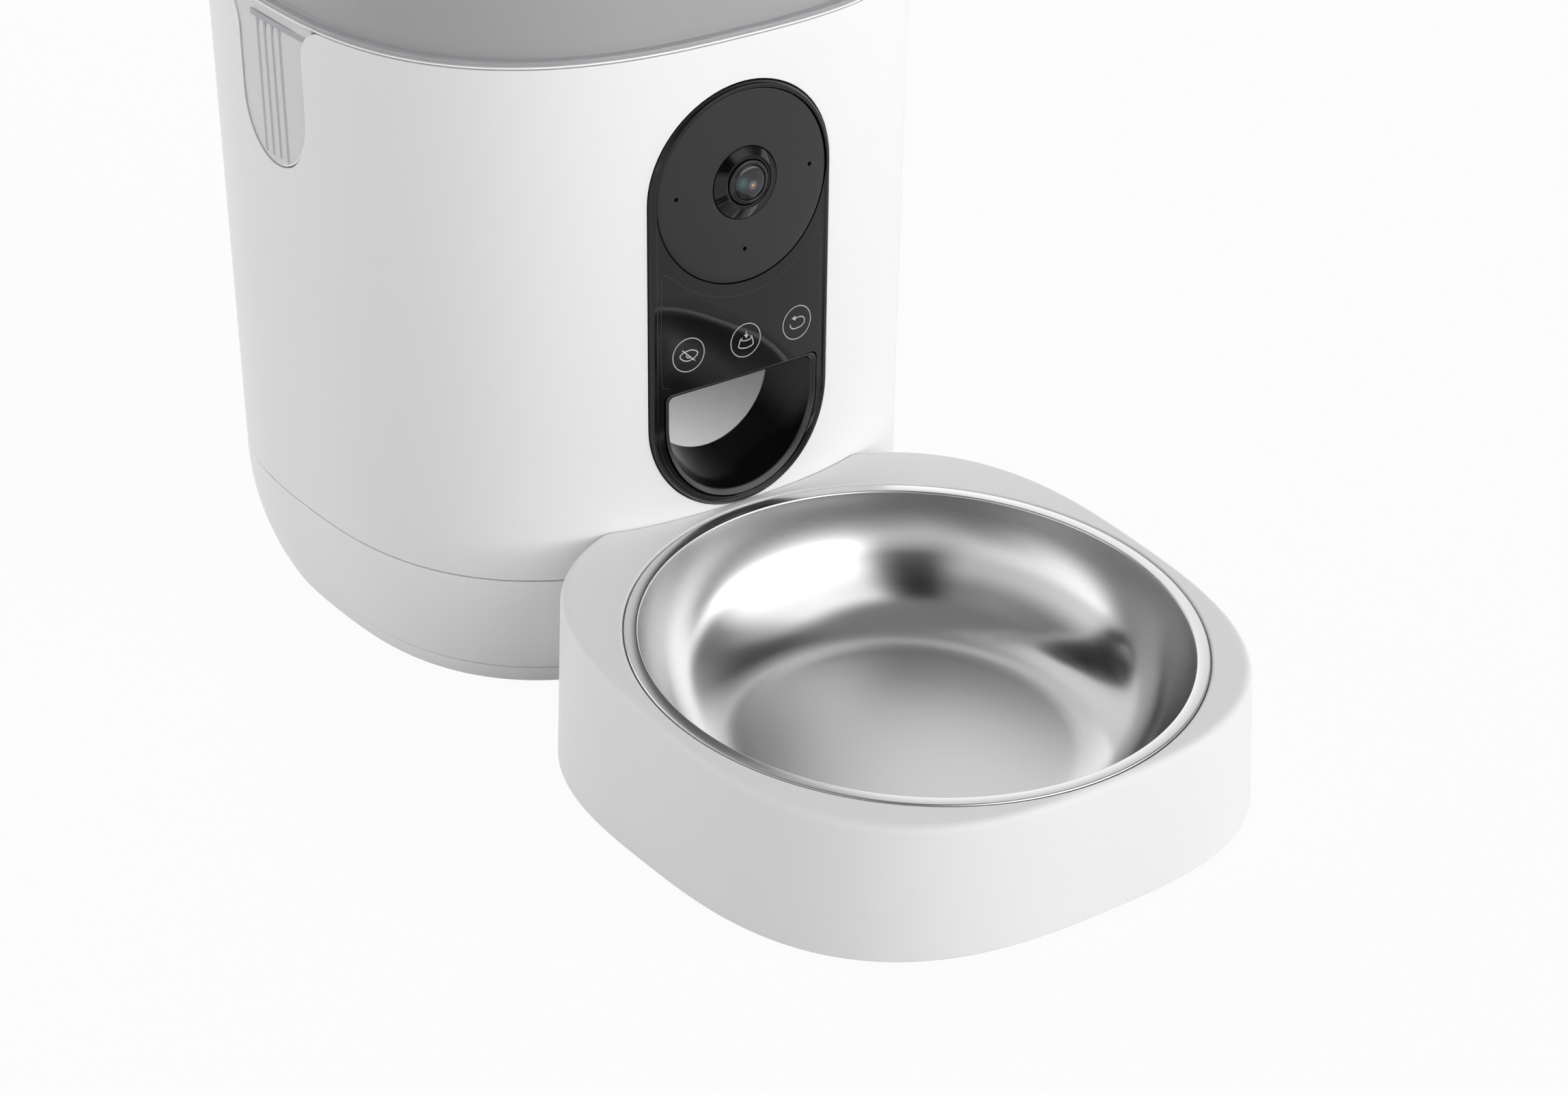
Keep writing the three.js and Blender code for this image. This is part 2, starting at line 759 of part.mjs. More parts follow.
function rubberFoot(radius) {
  const chamfer = footProud / 2;
  return turned(
    [
      [0, 0],
      [radius - chamfer, 0],
      [radius, chamfer],
      [radius, footProud + recessDepth],
      [0, footProud + recessDepth],
    ],
    roundSteps,
  );
}

function screw() {
  return turned(
    [
      [0, 0],
      [screwHeadRadius, 0],
      [screwHeadRadius, screwHead - seatGap],
      [screwRadius, screwHead - seatGap],
      [screwRadius, screwLength],
      [0, screwLength],
    ],
    smallSteps,
  );
}

// Main board with its larger components, lying on the base plate's standoffs
function mainBoard() {
  const low = plateTop + standoffHeight + seatGap;
  const top = low + boardWall;
  const front = mainBoardY - mainBoardDepth / 2;
  const sheet = block(-mainBoardWidth / 2, mainBoardWidth / 2, front, front + mainBoardDepth, low, top);
  const chips = [-2, 0, 2].map((place) => {
    const x = place * chipSize;
    const half = chipSize / 2;
    const chipLow = top - boardWall / 2;
    return block(x - half, x + half, mainBoardY - half, mainBoardY + half, chipLow, top + chipHeight);
  });
  return join(sheet, ...chips);
}

// Inlet: a plug socket whose face lies just inside the base's back wall
function powerInlet() {
  const back = baseReach(inletZ) * towerDepthShare - inletRecess;
  const body = prismY(inletOutline(inletHalfHeight, inletHalfSpan), back - inletDepth, back);
  const socket = prismY(inletOutline(slotHalfHeight, slotHalfSpan), back - slotDepth, back + overrun);
  return cut(body, socket);
}

// Speaker, facing the slots in the housing's back wall
function speaker() {
  const profile = [
    [0, speakerCone],
    [speakerRadius - speakerRim, 0],
    [speakerRadius, 0],
    [speakerRadius, speakerRim],
    [speakerMagnetRadius, speakerDepth / 2],
    [speakerMagnetRadius, speakerDepth],
    [0, speakerDepth],
  ];
  const face = faceAt(speakerRadius, speakerZ, -wall) - seatGap;
  return turned(profile).rotateX(quarterTurn).translate(0, face, speakerZ);
}

// Front panel: follows the tower's face, with a lip along its outline
function frontPanel() {
  const low = panelLowCentre - panelHalfWidth - overrun;
  const high = cameraZ + panelHalfWidth + overrun;
  const near = -faceAt(0, high, overrun);
  const far = near / 2;
  const face = common(
    prismY(panelOutline(0), near, far),
    towerSkin(panelProud, panelProud + panelDepth, low, high),
  );
  const lipRing = cut(
    prismY(panelOutline(0), near, far),
    prismY(panelOutline(-panelLipWidth), near - overrun, far + overrun),
  );
  const lip = common(lipRing, towerSkin(panelProud + panelLip, panelProud + panelLip, low, high));
  const discHole = rod(discRadius + seatGap, near, far, bodySteps).rotateX(-quarterTurn);
  const outlet = prismY(outletOutline(0), near, far);
  return cut(join(face, lip), discHole.translate(0, 0, cameraZ), outlet);
}

// Camera disc, with the hole for the lens cone and three pinholes
function cameraDisc() {
  const low = cameraZ - discRadius - overrun;
  const high = cameraZ + discRadius + overrun;
  const near = -faceAt(0, high, overrun);
  const far = near / 2;
  const disc = rod(discRadius, near, far, bodySteps).rotateX(-quarterTurn).translate(0, 0, cameraZ);
  const lensHole = rod(coneRadius + seatGap, near, far, roundSteps).rotateX(-quarterTurn);
  const pinholes = [[-pinholeReach, 0], [pinholeReach, 0], [0, -lowPinholeReach]].map(([x, rise]) =>
    rod(pinholeRadius, near, far, smallSteps / 2).rotateX(-quarterTurn).translate(x, 0, lensZ + rise),
  );
  const skin = towerSkin(panelProud, panelProud + discDepth, low, high);
  return cut(common(disc, skin), lensHole.translate(0, 0, lensZ), ...pinholes);
}

// Lens pieces: depth is counted back from the disc's face
const lensFace = -faceAt(0, lensZ, panelProud);

const lensCone = () =>
  turnedBack([
    [coneRadius, 0],
    [coneRadius, coneDepth],
    [coneThroat, coneDepth],
    [coneThroat, -coneRise],
    [coneTopRadius, -coneRise],
  ]);

function lensBarrel() {
  const radius = coneThroat - seatGap;
  const seat = lensRadius + seatGap;
  return turnedBack([
    [0, lensSeatDepth],
    [seat, lensSeatDepth],
    [seat, -barrelProud],
    [barrelFrontRadius, -barrelProud],
    [radius, radius - barrelFrontRadius - barrelProud],
    [radius, barrelDepth],
    [0, barrelDepth],
  ]);
}

function lensGlass() {
  const back = lensSeatDepth - seatGap;
  const edge = -barrelProud + seatGap;
  const domeSteps = 4;
  const profile = [[0, back], [lensRadius, back]];
  for (let i = 0; i <= domeSteps; i++) {
    const angle = (quarterTurn * i) / domeSteps;
    const radius = i === domeSteps ? 0 : lensRadius * Math.cos(angle);
    profile.push([radius, edge - lensDome * Math.sin(angle)]);
  }
  return turnedBack(profile);
}

function cameraBoard() {
  const front = lensFace + barrelDepth + seatGap;
  const half = cameraBoardWidth / 2;
  const rise = cameraBoardHeight / 2;
  return block(-half, half, front, front + boardWall, lensZ - rise, lensZ + rise);
}

// Touch board, flat behind the panel's curved back
function touchBoard() {
  const half = touchBoardWidth / 2;
  const low = outletTop + touchBoardGap;
  const front = seatGap - faceAt(half, low, -panelDepth);
  return block(-half, half, front, front + boardWall, low, low + touchBoardHeight);
}

// Outlet tunnel: the outlet's outline, drawn in and up towards the chute
function outletTunnel() {
  const front = -faceAt(0, outletZ, panelProud + tunnelProud);
  const inner = seatGap + tunnelWall;
  const outline = outletOutline(seatGap, seatGap + tunnelHeadroom);
  outline.holes.push(outletOutline(inner, inner + tunnelHeadroom));
  const tube = reshape(prismY(outline, front - overrun, -tunnelBack), (place) => {
    const along = (place.y - front) / (-tunnelBack - front);
    const size = 1 - (1 - tunnelTaperShare) * along;
    place.x *= size;
    place.z = outletZ + (place.z - outletZ) * size + tunnelRise * along;
  });
  const low = outletZ - outletRadius - overrun;
  const high = outletTop + tunnelRise + overrun;
  return common(tube, towerBlank(panelProud + tunnelProud, low, high));
}

// Chute: a round-bottomed channel that carries on from the tunnel and climbs to the portion wheel
function chute() {
  const front = -tunnelBack + seatGap;
  const radius = (outletRadius - seatGap - tunnelWall) * tunnelTaperShare;
  const outer = radius + chuteWall;
  const centre = outletZ + tunnelRise;
  const slope = (caseTop + chuteClearance - centre + outer) / (-caseHalfWidth - front);
  const top = frameLow + overrun;
  const outline = new THREE.Shape();
  outline.absarc(0, centre, outer, halfTurn, 2 * halfTurn);
  outline.lineTo(outer, top);
  outline.lineTo(radius, top);
  outline.absarc(0, centre, radius, 2 * halfTurn, halfTurn, true);
  outline.lineTo(-radius, top);
  outline.lineTo(-outer, top);
  outline.closePath();
  const channel = reshape(prismY(outline, front, -chuteBack), (place) => {
    place.z += slope * (place.y - front);
  });
  const cutTop = top + slope * (-chuteBack - front) + overrun;
  const above = block(
    -outer - overrun,
    outer + overrun,
    front - overrun,
    overrun - chuteBack,
    frameLow - seatGap,
    cutTop,
  );
  return cut(channel, above);
}

// Middle frame: carries the gear case on three posts, under the portion wheel
const frameTop = frameLow + frameWall;

function midFrame() {
  const reach = halfWidthAt(frameLow) - wall - seatGap;
  const plate = roundedSquare([[0, frameLow], [reach, frameLow], [reach, frameTop], [0, frameTop]]);
  const postX = caseHalfWidth - postInset;
  const rearPostY = caseBackCentre + postX;
  const posts = [[-postX, postY], [postX, postY], [0, rearPostY]].map(([x, y]) =>
    rod(postRadius, caseTop + seatGap, frameLow + frameWall / 2).translate(x, y, 0),
  );
  const low = frameLow - overrun;
  const high = frameTop + overrun;
  const front = -reach * towerDepthShare;
  const frontNotch = block(
    -frameNotchHalfWidth,
    frameNotchHalfWidth,
    front - overrun,
    front + frameNotchDepth,
    low,
    high,
  );
  const dropWindow = block(
    -dropWindowHalfWidth,
    dropWindowHalfWidth,
    -dropWindowFront,
    -chuteBack - seatGap,
    low,
    high,
  );
  return cut(join(plate, ...posts), frontNotch, dropWindow, rod(shaftWindow, low, high));
}

const tipRadius = (teeth) => gearModule * (teeth / 2 + addendumShare);
const gearSpacing = (gearModule * (wheelTeeth + pinionTeeth)) / 2;
const motorY = 2 * gearSpacing;
const caseInner = tipRadius(wheelTeeth) + runningGap;
const caseHalfWidth = caseInner + caseWall;
const caseBackCentre = motorY + tipRadius(pinionTeeth) + caseEndRoom - caseInner;

// Gears: an involute outline with a tooth on +X
function gearOutline(teeth) {
  const pitch = (gearModule * teeth) / 2;
  const pressure = radians(pressureAngleDeg);
  const base = pitch * Math.cos(pressure);
  const tip = tipRadius(teeth);
  const root = pitch - dedendumShare * gearModule;
  const involute = (angle) => Math.tan(angle) - angle;
  const halfAtPitch = (halfTurn * gearModule - 2 * backlash) / (4 * pitch);
  const halfAt = (radius) =>
    halfAtPitch + involute(pressure) - involute(Math.acos(Math.min(1, base / radius)));
  const flank = [root, tip];
  const points = [];
  for (let i = 0; i < teeth; i++) {
    const middle = (2 * halfTurn * i) / teeth;
    const rising = flank.map((radius) => [radius, middle - halfAt(radius)]);
    const falling = flank.toReversed().map((radius) => [radius, middle + halfAt(radius)]);
    for (const [radius, angle] of [...rising, ...falling])
      points.push(new THREE.Vector2(radius * Math.cos(angle), radius * Math.sin(angle)));
  }
  return new THREE.Shape(points);
}

const gear = (teeth, low) => slab(gearOutline(teeth), low, low + gearWidth);
const caseFloor = caseLow + caseWall;
const caseRoof = caseTop - caseWall;

function gearCaseLower() {
  const outer = slab(roundEnded(caseHalfWidth, 0, caseBackCentre), caseLow, caseSplit);
  const room = roundEnded(caseInner, 0, caseBackCentre);
  const hollow = slab(room, caseFloor, caseSplit + overrun);
  const low = caseLow - overrun;
  const holes = [
    rod(driveShaftRadius + runningGap, low, caseSplit),
    rod(idlerPinRadius + runningGap, low, caseSplit).translate(0, gearSpacing, 0),
    rod(motorBossRadius + seatGap, low, caseSplit).translate(0, motorY, 0),
  ];
  return cut(outer, hollow, ...holes);
}

function gearCaseUpper() {
  const low = caseSplit + seatGap;
  const outer = slab(roundEnded(caseHalfWidth, 0, caseBackCentre), low, caseTop);
  const room = roundEnded(caseInner, 0, caseBackCentre);
  const hollow = slab(room, low - overrun, caseRoof);
  const high = caseTop + overrun;
  const holes = [
    rod(driveShaftRadius + runningGap, low, high),
    rod(idlerPinRadius + runningGap, low, high).translate(0, gearSpacing, 0),
  ];
  return cut(outer, hollow, ...holes);
}

// Drive gear with its shaft and the square dog that enters the portion wheel
function driveGear() {
  const half = dogSide / 2;
  return join(
    gear(wheelTeeth, upperGearZ),
    rod(driveShaftRadius, caseLow + seatGap, dogLow + overrun),
    block(-half, half, -half, half, dogLow, dogTop),
  );
}

function idlerGear() {
  return join(
    gear(wheelTeeth, lowerGearZ),
    gear(pinionTeeth, upperGearZ),
    rod(idlerHubRadius, lowerGearZ, upperGearZ + gearWidth),
    rod(idlerPinRadius, caseLow + seatGap, caseTop - seatGap),
  );
}

function motorPinion() {
  const low = lowerGearZ - motorShaftLength;
  return join(gear(pinionTeeth, lowerGearZ), rod(motorShaftRadius, low, lowerGearZ + gearWidth));
}

function driveMotor() {
  const top = caseLow - seatGap;
  const bore = motorShaftRadius + runningGap;
  const boreEnd = lowerGearZ - motorShaftLength - seatGap;
  return turned([
    [0, top - motorLength],
    [motorRadius, top - motorLength],
    [motorRadius, top],
    [motorBossRadius, top],
    [motorBossRadius, top + motorBossHeight],
    [bore, top + motorBossHeight],
    [bore, boreEnd],
    [0, boreEnd],
  ]);
}

// Portion wheel: case, shield over the drop, wheel and stirrer
const rotorLow = frameTop + seatGap;
const rotorFloorTop = rotorLow + rotorFloor;
const rotorInner = rotorRadius - rotorWall;

function rotorCase() {
  const cup = turned(
    [
      [0, rotorLow],
      [rotorRadius, rotorLow],
      [rotorRadius, rotorTop],
      [rotorInner, rotorTop],
      [rotorInner, rotorFloorTop],
      [0, rotorFloorTop],
    ],
    bodySteps,
  );
  const low = rotorLow - overrun;
  const high = rotorFloorTop + overrun;
  return cut(cup, slab(sector(dropInner, dropOuter, dropHalfDeg), low, high), rod(shaftWindow, low, high));
}

function portionShield() {
  const outer = rotorInner - seatGap;
  const high = shieldLow + shieldWall;
  const ring = turned(
    [[outer - shieldRing, shieldLow], [outer, shieldLow], [outer, high], [outer - shieldRing, high]],
    bodySteps,
  );
  const cover = slab(sector(shieldInner, outer - shieldRing / 2, shieldHalfDeg), shieldLow, high);
  return join(ring, cover);
}

function impeller() {
  const low = rotorFloorTop + runningGap;
  const tip = rotorInner - vaneTipGap;
  const half = vaneWall / 2;
  const vanes = [];
  for (let i = 0; i < vaneCount; i++) {
    const vane = block(0, tip, -half, half, low, vaneTop);
    vanes.push(vane.rotateZ((2 * halfTurn * i) / vaneCount));
  }
  const side = dogSide / 2 + runningGap;
  const socket = block(-side, side, -side, side, low - overrun, low + socketDepth);
  return cut(join(rod(hubRadius, low, vaneTop, roundSteps), ...vanes), socket);
}

// Stirrer: a cap on the wheel's hub with two arms that reach up into the tank's funnel
function stirrer() {
  const cap = rod(stirrerCapRadius, vaneTop + seatGap, stirrerTop);
  const rise = stirrerArmHigh - stirrerArmLow;
  const length = Math.hypot(stirrerReach, rise);
  const arms = [-1, 1].map((side) => {
    const arm = rod(stirrerArmRadius, 0, length, smallSteps / 2);
    return arm.rotateY(side * Math.atan2(stirrerReach, rise)).translate(0, 0, stirrerArmLow);
  });
  return join(cap, ...arms);
}

// Food tank: a round neck that opens to the tower's section, a flange on the housing's edge, the tall wall
function tankSection(z) {
  const share = THREE.MathUtils.clamp((z - neckTop) / (collarLow - neckTop), 0, 1);
  return {
    power: 2 + (towerPower - 2) * share,
    depthShare: 1 + (towerDepthShare - 1) * share,
  };
}

function hopper() {
  const collar = halfWidthAt(collarLow) - wall - collarInset;
  const flange = halfWidthAt(housingTop);
  const wallLow = tankReachAt(flangeTop);
  const wallTop = tankReachAt(tankTop);
  const neckLow = rotorTop + seatGap;
  const slant = tankWall / 2; // the funnel's inner face lies this much higher than its outer one
  return roundedSquare(
    [
      [rotorInner, neckLow],
      [rotorRadius, neckLow],
      [rotorRadius, neckTop],
      [collar, collarLow],
      [collar, flangeLow],
      [flange, flangeLow],
      [flange, flangeTop],
      [wallLow, flangeTop],
      [wallTop, tankTop],
      [wallTop - tankWall, tankTop],
      [wallLow - tankWall, flangeTop],
      [collar - tankWall, flangeLow - flangeWall],
      [collar - tankWall, collarLow + slant],
      [rotorInner, neckTop + slant],
    ],
    tankSection,
  );
}

// Press tab in a side notch: a clear skin with upright ribs on its inner face
function pressTab(side) {
  const far = halfWidthAt(housingTop) + overrun;
  const outline = notchOutline(tabGap, tabFlareDeg);
  const span = [side * far, (side * far) / 2].sort((a, b) => a - b);
  const low = notchLow - overrun;
  const skin = towerSkin(-tabInset, tabWall, low, housingTop);
  const ribOuter = halfWidthAt((tabRibLow + tabRibHigh) / 2) - tabInset - tabWall / 2;
  const ribInner = ribOuter - tabWall / 2 - tabRibDepth;
  const ribs = [];
  for (let i = 0; i < tabRibCount; i++) {
    const y = notchY + (i - (tabRibCount - 1) / 2) * tabRibPitch;
    const faces = [side * ribOuter, side * ribInner].sort((a, b) => a - b);
    ribs.push(block(...faces, y - tabRibWall / 2, y + tabRibWall / 2, tabRibLow, tabRibHigh));
  }
  return join(common(prismX(outline, ...span), skin), ...ribs);
}

// Lid with its plug, the seal round the plug, and the desiccant holder under its middle
const lidLow = tankTop + seatGap;
const lidTop = lidLow + lidHeight;
const lidUnder = lidTop - lidWall;

function lid() {
  const edgeLow = lidTop - lidEdgeRadius;
  const edgeInner = lidHalfWidth - lidEdgeRadius;
  const edge = [];
  for (let i = 0; i <= lidEdgeSteps; i++) {
    const angle = (quarterTurn * i) / lidEdgeSteps;
    edge.push([edgeInner + lidEdgeRadius * Math.cos(angle), edgeLow + lidEdgeRadius * Math.sin(angle)]);
  }
  const inner = plugReach - plugWall;
  const cover = roundedSquare([
    [0, lidUnder],
    [edgeInner, lidUnder],
    [lidHalfWidth - lidWall, edgeLow],
    [lidHalfWidth - lidWall, lidLow + lidWall],
    [inner, lidLow + lidWall],
    [inner, lidLow - plugDepth],
    [plugReach, lidLow - plugDepth],
    [plugReach, lidLow],
    [lidHalfWidth, lidLow],
    ...edge,
    [0, lidTop + lidCrown],
  ]);
  const collarInner = holderRadius + seatGap;
  const collar = turned([
    [collarInner, lidUnder - holderCollarDepth],
    [collarInner + holderCollarWall, lidUnder - holderCollarDepth],
    [collarInner + holderCollarWall, lidUnder + lidWall / 2],
    [collarInner, lidUnder + lidWall / 2],
  ]);
  return join(cover, collar);
}

function lidSeal() {
  const inner = plugReach + seatGap;
  const outer = tankInner - seatGap;
  const low = sealTop - sealHeight;
  return roundedSquare([
    [inner, low],
    [outer, (low + sealTop) / 2],
    [inner, sealTop],
  ]);
}

function desiccantHolder() {
  const top = lidUnder - seatGap;
  const low = top - holderDepth;
  const cup = turned([
    [0, low],
    [holderRadius, low],
    [holderRadius, top],
    [holderRadius - holderWall, top],
    [holderRadius - holderWall, low + holderWall],
    [0, low + holderWall],
  ]);
  const slots = [];
  for (let i = 0; i < holderSlots; i++) {
    const half = holderSlot / 2;
    const high = low + holderWall + overrun;
    const slot = block(holderSlotInner, holderSlotOuter, -half, half, low - overrun, high);
    slots.push(slot.rotateZ((2 * halfTurn * i) / holderSlots));
  }
  return cut(cup, ...slots);
}

function desiccantPack() {
  const low = lidUnder - holderDepth + holderWall;
  const radius = holderRadius - holderWall - 2 * seatGap;
  return turned([
    [0, low],
    [radius - packEdge, low],
    [radius, low + packHeight / 2],
    [radius - packEdge, low + packHeight],
    [0, low + packHeight],
  ]);
}

// Tray: the lean is whole at the top and fades to nothing at the underside
const leanShare = Math.tan(radians(leanDeg));
const traySection = () => ({ power: trayPower, depthShare: trayDepthShare });

function leaned(geometry) {
  return reshape(geometry, (place) => {
    const share = (place.z - footProud) / (trayTop - leanFade - footProud);
    place.z += leanShare * place.y * THREE.MathUtils.clamp(share, 0, 1);
    place.y -= trayCentre;
  });
}

// Places a geometry that is drawn round the bowl's axis, with its rim plane at height zero
const rimHeight = trayTop - leanShare * (bowlCentre - trayCentre);

function atBowl(geometry) {
  return geometry.rotateX(radians(leanDeg)).translate(0, -bowlCentre, rimHeight);
}

function bowlTray() {
  const under = trayTop - trayPlate;
  const edge = trayEdgeRadius;
  const diagonal = edge * (1 - Math.SQRT1_2);
  const shell = leaned(
    roundedSquare(
      [
        [0, under],
        [trayTopHalfWidth - trayWall, under],
        [trayHalfWidth - trayWall, footProud],
        [trayHalfWidth, footProud],
        [trayTopHalfWidth, trayTop - edge],
        [trayTopHalfWidth - diagonal, trayTop - diagonal],
        [trayTopHalfWidth - edge, trayTop],
        [0, trayTop],
      ],
      traySection,
    ),
  );
  const blankTop = trayTop - trayPlate / 2;
  const floorReach = trayHalfWidth - trayWall / 2;
  const floorInner = trayHalfWidth - trayFloorWidth;
  const blank = leaned(
    roundedSquare(
      [
        [0, footProud],
        [floorReach, footProud],
        [trayTopHalfWidth - trayWall / 2, blankTop],
        [0, blankTop],
      ],
      traySection,
    ),
  );
  const floor = leaned(
    roundedSquare(
      [
        [floorInner, footProud],
        [floorReach, footProud],
        [floorReach, plateTop],
        [floorInner, plateTop],
      ],
      traySection,
    ),
  );
  const high = trayTop + leanShare * trayCentre + overrun;
  const low = footProud - overrun;
  const backWall = common(towerSkin(trayTowerGap + trayWall, 2 * trayWall, low, high), blank);
  const seatRadius = rimRadius + seatGap - ledge;
  const hole = atBowl(rod(seatRadius, -trayPlate - overrun, overrun, bodySteps));
  const rebate = atBowl(rod(rimRadius + seatGap, -rimWall - seatGap / 2, overrun, bodySteps));
  const recesses = trayFeet.map(([, x, y]) =>
    rod(trayFootRadius + seatGap, low, recessTop, roundSteps).translate(x, y, 0),
  );
  const body = cut(
    join(shell, floor, backWall),
    hole,
    rebate,
    towerBlank(trayTowerGap, low, high),
    ...recesses,
  );
  const root = towerHalfDepth + trayTowerGap + trayWall / 2;
  const tongue = block(
    -tongueHalfWidth,
    tongueHalfWidth,
    -root,
    tongueReach - towerHalfDepth,
    tongueLow,
    tongueLow + tongueWall,
  );
  return join(body, tongue);
}

const trayFeet = [
  ["front_left", -trayFootX, -trayCentre - trayFootFront],
  ["front_right", trayFootX, -trayCentre - trayFootFront],
  ["rear_left", -trayFootX, trayFootBack - trayCentre],
  ["rear_right", trayFootX, trayFootBack - trayCentre],
];

// Bowl: flat rim, steep wall and a wide round turn to the flat bottom, one wall thick throughout
function steelBowl() {
  const mouth = rimRadius - rimWidth;
  const curve = new THREE.CubicBezierCurve(
    new THREE.Vector2(mouth, 0),
    new THREE.Vector2(mouth - bowlWall, -bowlDepth * bowlSteepShare),
    new THREE.Vector2(mouth - bowlTurnShare * (mouth - bowlFlatRadius), -bowlDepth),
    new THREE.Vector2(bowlFlatRadius, -bowlDepth),
  );
  const inner = curve.getPoints(bowlSteps);
  const outer = inner.map((point, i) => {
    const slope = curve.getTangent(i / bowlSteps);
    return [point.x - slope.y * bowlWall, point.y + slope.x * bowlWall];
  });
  const rimUnder = -rimWall + seatGap / 2;
  const profile = [
    [0, -bowlDepth],
    ...inner.toReversed().map((point) => [point.x, point.y]),
    [rimRadius, 0],
    [rimRadius, rimUnder],
    [mouth + bowlWall, rimUnder],
    ...outer.slice(1),
    [0, -bowlDepth - bowlWall],
  ];
  return turned(profile, bodySteps);
}

// Assembly
part("upper_housing", upperHousing(), white);
part("base_housing", baseHousing(), white);
part("base_plate", basePlate(), white);
for (const [place, sideX, sideY] of corners)
  part("foot_" + place, rubberFoot(footRadius), rubber, sideX * footX, sideY * footY);
corners.forEach(([, sideX, sideY], i) =>
  part("base_screw_" + (i + 1), screw(), zinc, sideX * screwX, sideY * screwY, footProud + seatGap / 2),
);
part("battery_box", batteryBox(), satinBlack);
part("battery_contact_front", batteryContact(-1), zinc);
part("battery_contact_rear", batteryContact(1), zinc);
part("battery_door", batteryDoor(), white);
part("main_board", mainBoard(), board);
part("power_inlet", powerInlet(), satinBlack);
part("speaker", speaker(), satinBlack);

part("front_panel", frontPanel(), glossBlack);
part("camera_disc", cameraDisc(), satinBlack);
part("lens_cone", lensCone(), glossBlack, 0, lensFace, lensZ);
part("lens_barrel", lensBarrel(), satinBlack, 0, lensFace, lensZ);
part("lens_glass", lensGlass(), lensCoat, 0, lensFace, lensZ);
part("camera_board", cameraBoard(), board);
part("touch_board", touchBoard(), board);
part("outlet_tunnel", outletTunnel(), glossBlack);
part("chute", chute(), paleGrey);

part("mid_frame", midFrame(), paleGrey);
part("gear_case_lower", gearCaseLower(), nylon);
part("gear_case_upper", gearCaseUpper(), nylon);
part("drive_gear", driveGear(), nylon);
part("idler_gear", idlerGear(), nylon, 0, gearSpacing);
part("motor_pinion", motorPinion(), zinc, 0, motorY);
part("drive_motor", driveMotor(), zinc, 0, motorY);

part("hopper", hopper(), clear);
part("rotor_case", rotorCase(), paleGrey);
part("portion_shield", portionShield(), paleGrey);
part("impeller", impeller(), silicone);
part("stirrer", stirrer(), silicone);
part("press_tab_left", pressTab(-1), clear);
part("press_tab_right", pressTab(1), clear);
part("lid", lid(), white);
part("lid_seal", lidSeal(), silicone);
part("desiccant_holder", desiccantHolder(), white);
part("desiccant_pack", desiccantPack(), paper);

part("bowl_tray", bowlTray(), white);
for (const [place, x, y] of trayFeet) part("tray_foot_" + place, rubberFoot(trayFootRadius), rubber, x, y);
const bowl = part("steel_bowl", steelBowl(), steel, 0, -bowlCentre, rimHeight);
bowl.rotation.x = radians(leanDeg);

// The whole object's middle goes to Y = 0
const frontReach = trayCentre + trayHalfWidth * trayDepthShare;
const backReach = lidHalfWidth * towerDepthShare;
tower.position.y = (frontReach - backReach) / 2;

export default feeder;
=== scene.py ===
"""A camera pet feeder: tower with a clear food tank and a black front panel, tray with a steel bowl.

Sizes are in millimetres from the tower's own axis; every mesh is turned into metres in the frame's place.
"""

from math import acos, atan2, ceil, cos, degrees, pi, radians, sin, tan

import bmesh
import bpy
from mathutils import Matrix, Vector
from mathutils.bvhtree import BVHTree
from mathutils.interpolate import poly_3d_calc

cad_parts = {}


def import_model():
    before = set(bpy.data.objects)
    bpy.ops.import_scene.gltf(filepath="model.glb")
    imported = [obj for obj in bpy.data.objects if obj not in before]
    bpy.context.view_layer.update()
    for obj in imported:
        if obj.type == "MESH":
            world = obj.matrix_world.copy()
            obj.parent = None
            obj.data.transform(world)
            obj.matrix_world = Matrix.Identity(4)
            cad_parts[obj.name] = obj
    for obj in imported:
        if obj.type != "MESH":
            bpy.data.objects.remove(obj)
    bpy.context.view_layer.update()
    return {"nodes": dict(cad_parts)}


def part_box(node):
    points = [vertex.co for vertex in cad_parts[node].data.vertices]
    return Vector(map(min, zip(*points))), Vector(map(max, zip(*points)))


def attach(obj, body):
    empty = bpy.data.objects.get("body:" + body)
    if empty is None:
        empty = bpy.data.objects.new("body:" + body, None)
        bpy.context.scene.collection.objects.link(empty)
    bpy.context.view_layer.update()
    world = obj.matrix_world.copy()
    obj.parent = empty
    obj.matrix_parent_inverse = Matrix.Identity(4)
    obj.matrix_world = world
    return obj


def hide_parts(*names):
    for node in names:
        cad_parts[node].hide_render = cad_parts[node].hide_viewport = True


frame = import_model()

MM = 0.001
SHARP = radians(32)

# The photograph's frame and camera, in the tower's own millimetres
PHOTO_WIDTH, PHOTO_HEIGHT = 2296, 1603
FOCAL_PIXELS = 5523.119
CENTRE_PIXEL = (1136.371, 830.721)
EYE = (-516.142, -816.424, 509.774)
EYE_TURN, EYE_FALL, EYE_ROLL = -35.791, 28.263, 0.123
SENSOR = 36.0

# Fineness of the turned and drawn shapes
BODY_STEPS = 288
ROUND_STEPS = 96

# Tower
HALF_WIDTH = 85.0
HALF_DEPTH = 84.5
TOWER_POWER = 2.66
DRAFT = 0.0139
WALL = 2.8
SEAT = 0.3
UNDERSIDE = 1.0
FOOT_SEAM = 6.9
SEAM = 36.4
HOUSING_TOP = 179.6
FOOT_RING_HALF = 79.4
BASE_HALF = 76.6
BASE_CURVE = 2.2
BASE_LIP = 1.6
BASE_LIP_RISE = 4.0
FLOOR_TOP = 3.6
CUT_BELOW, CUT_ABOVE = -2.0, 6.0
DISH_ROOM = 3.0

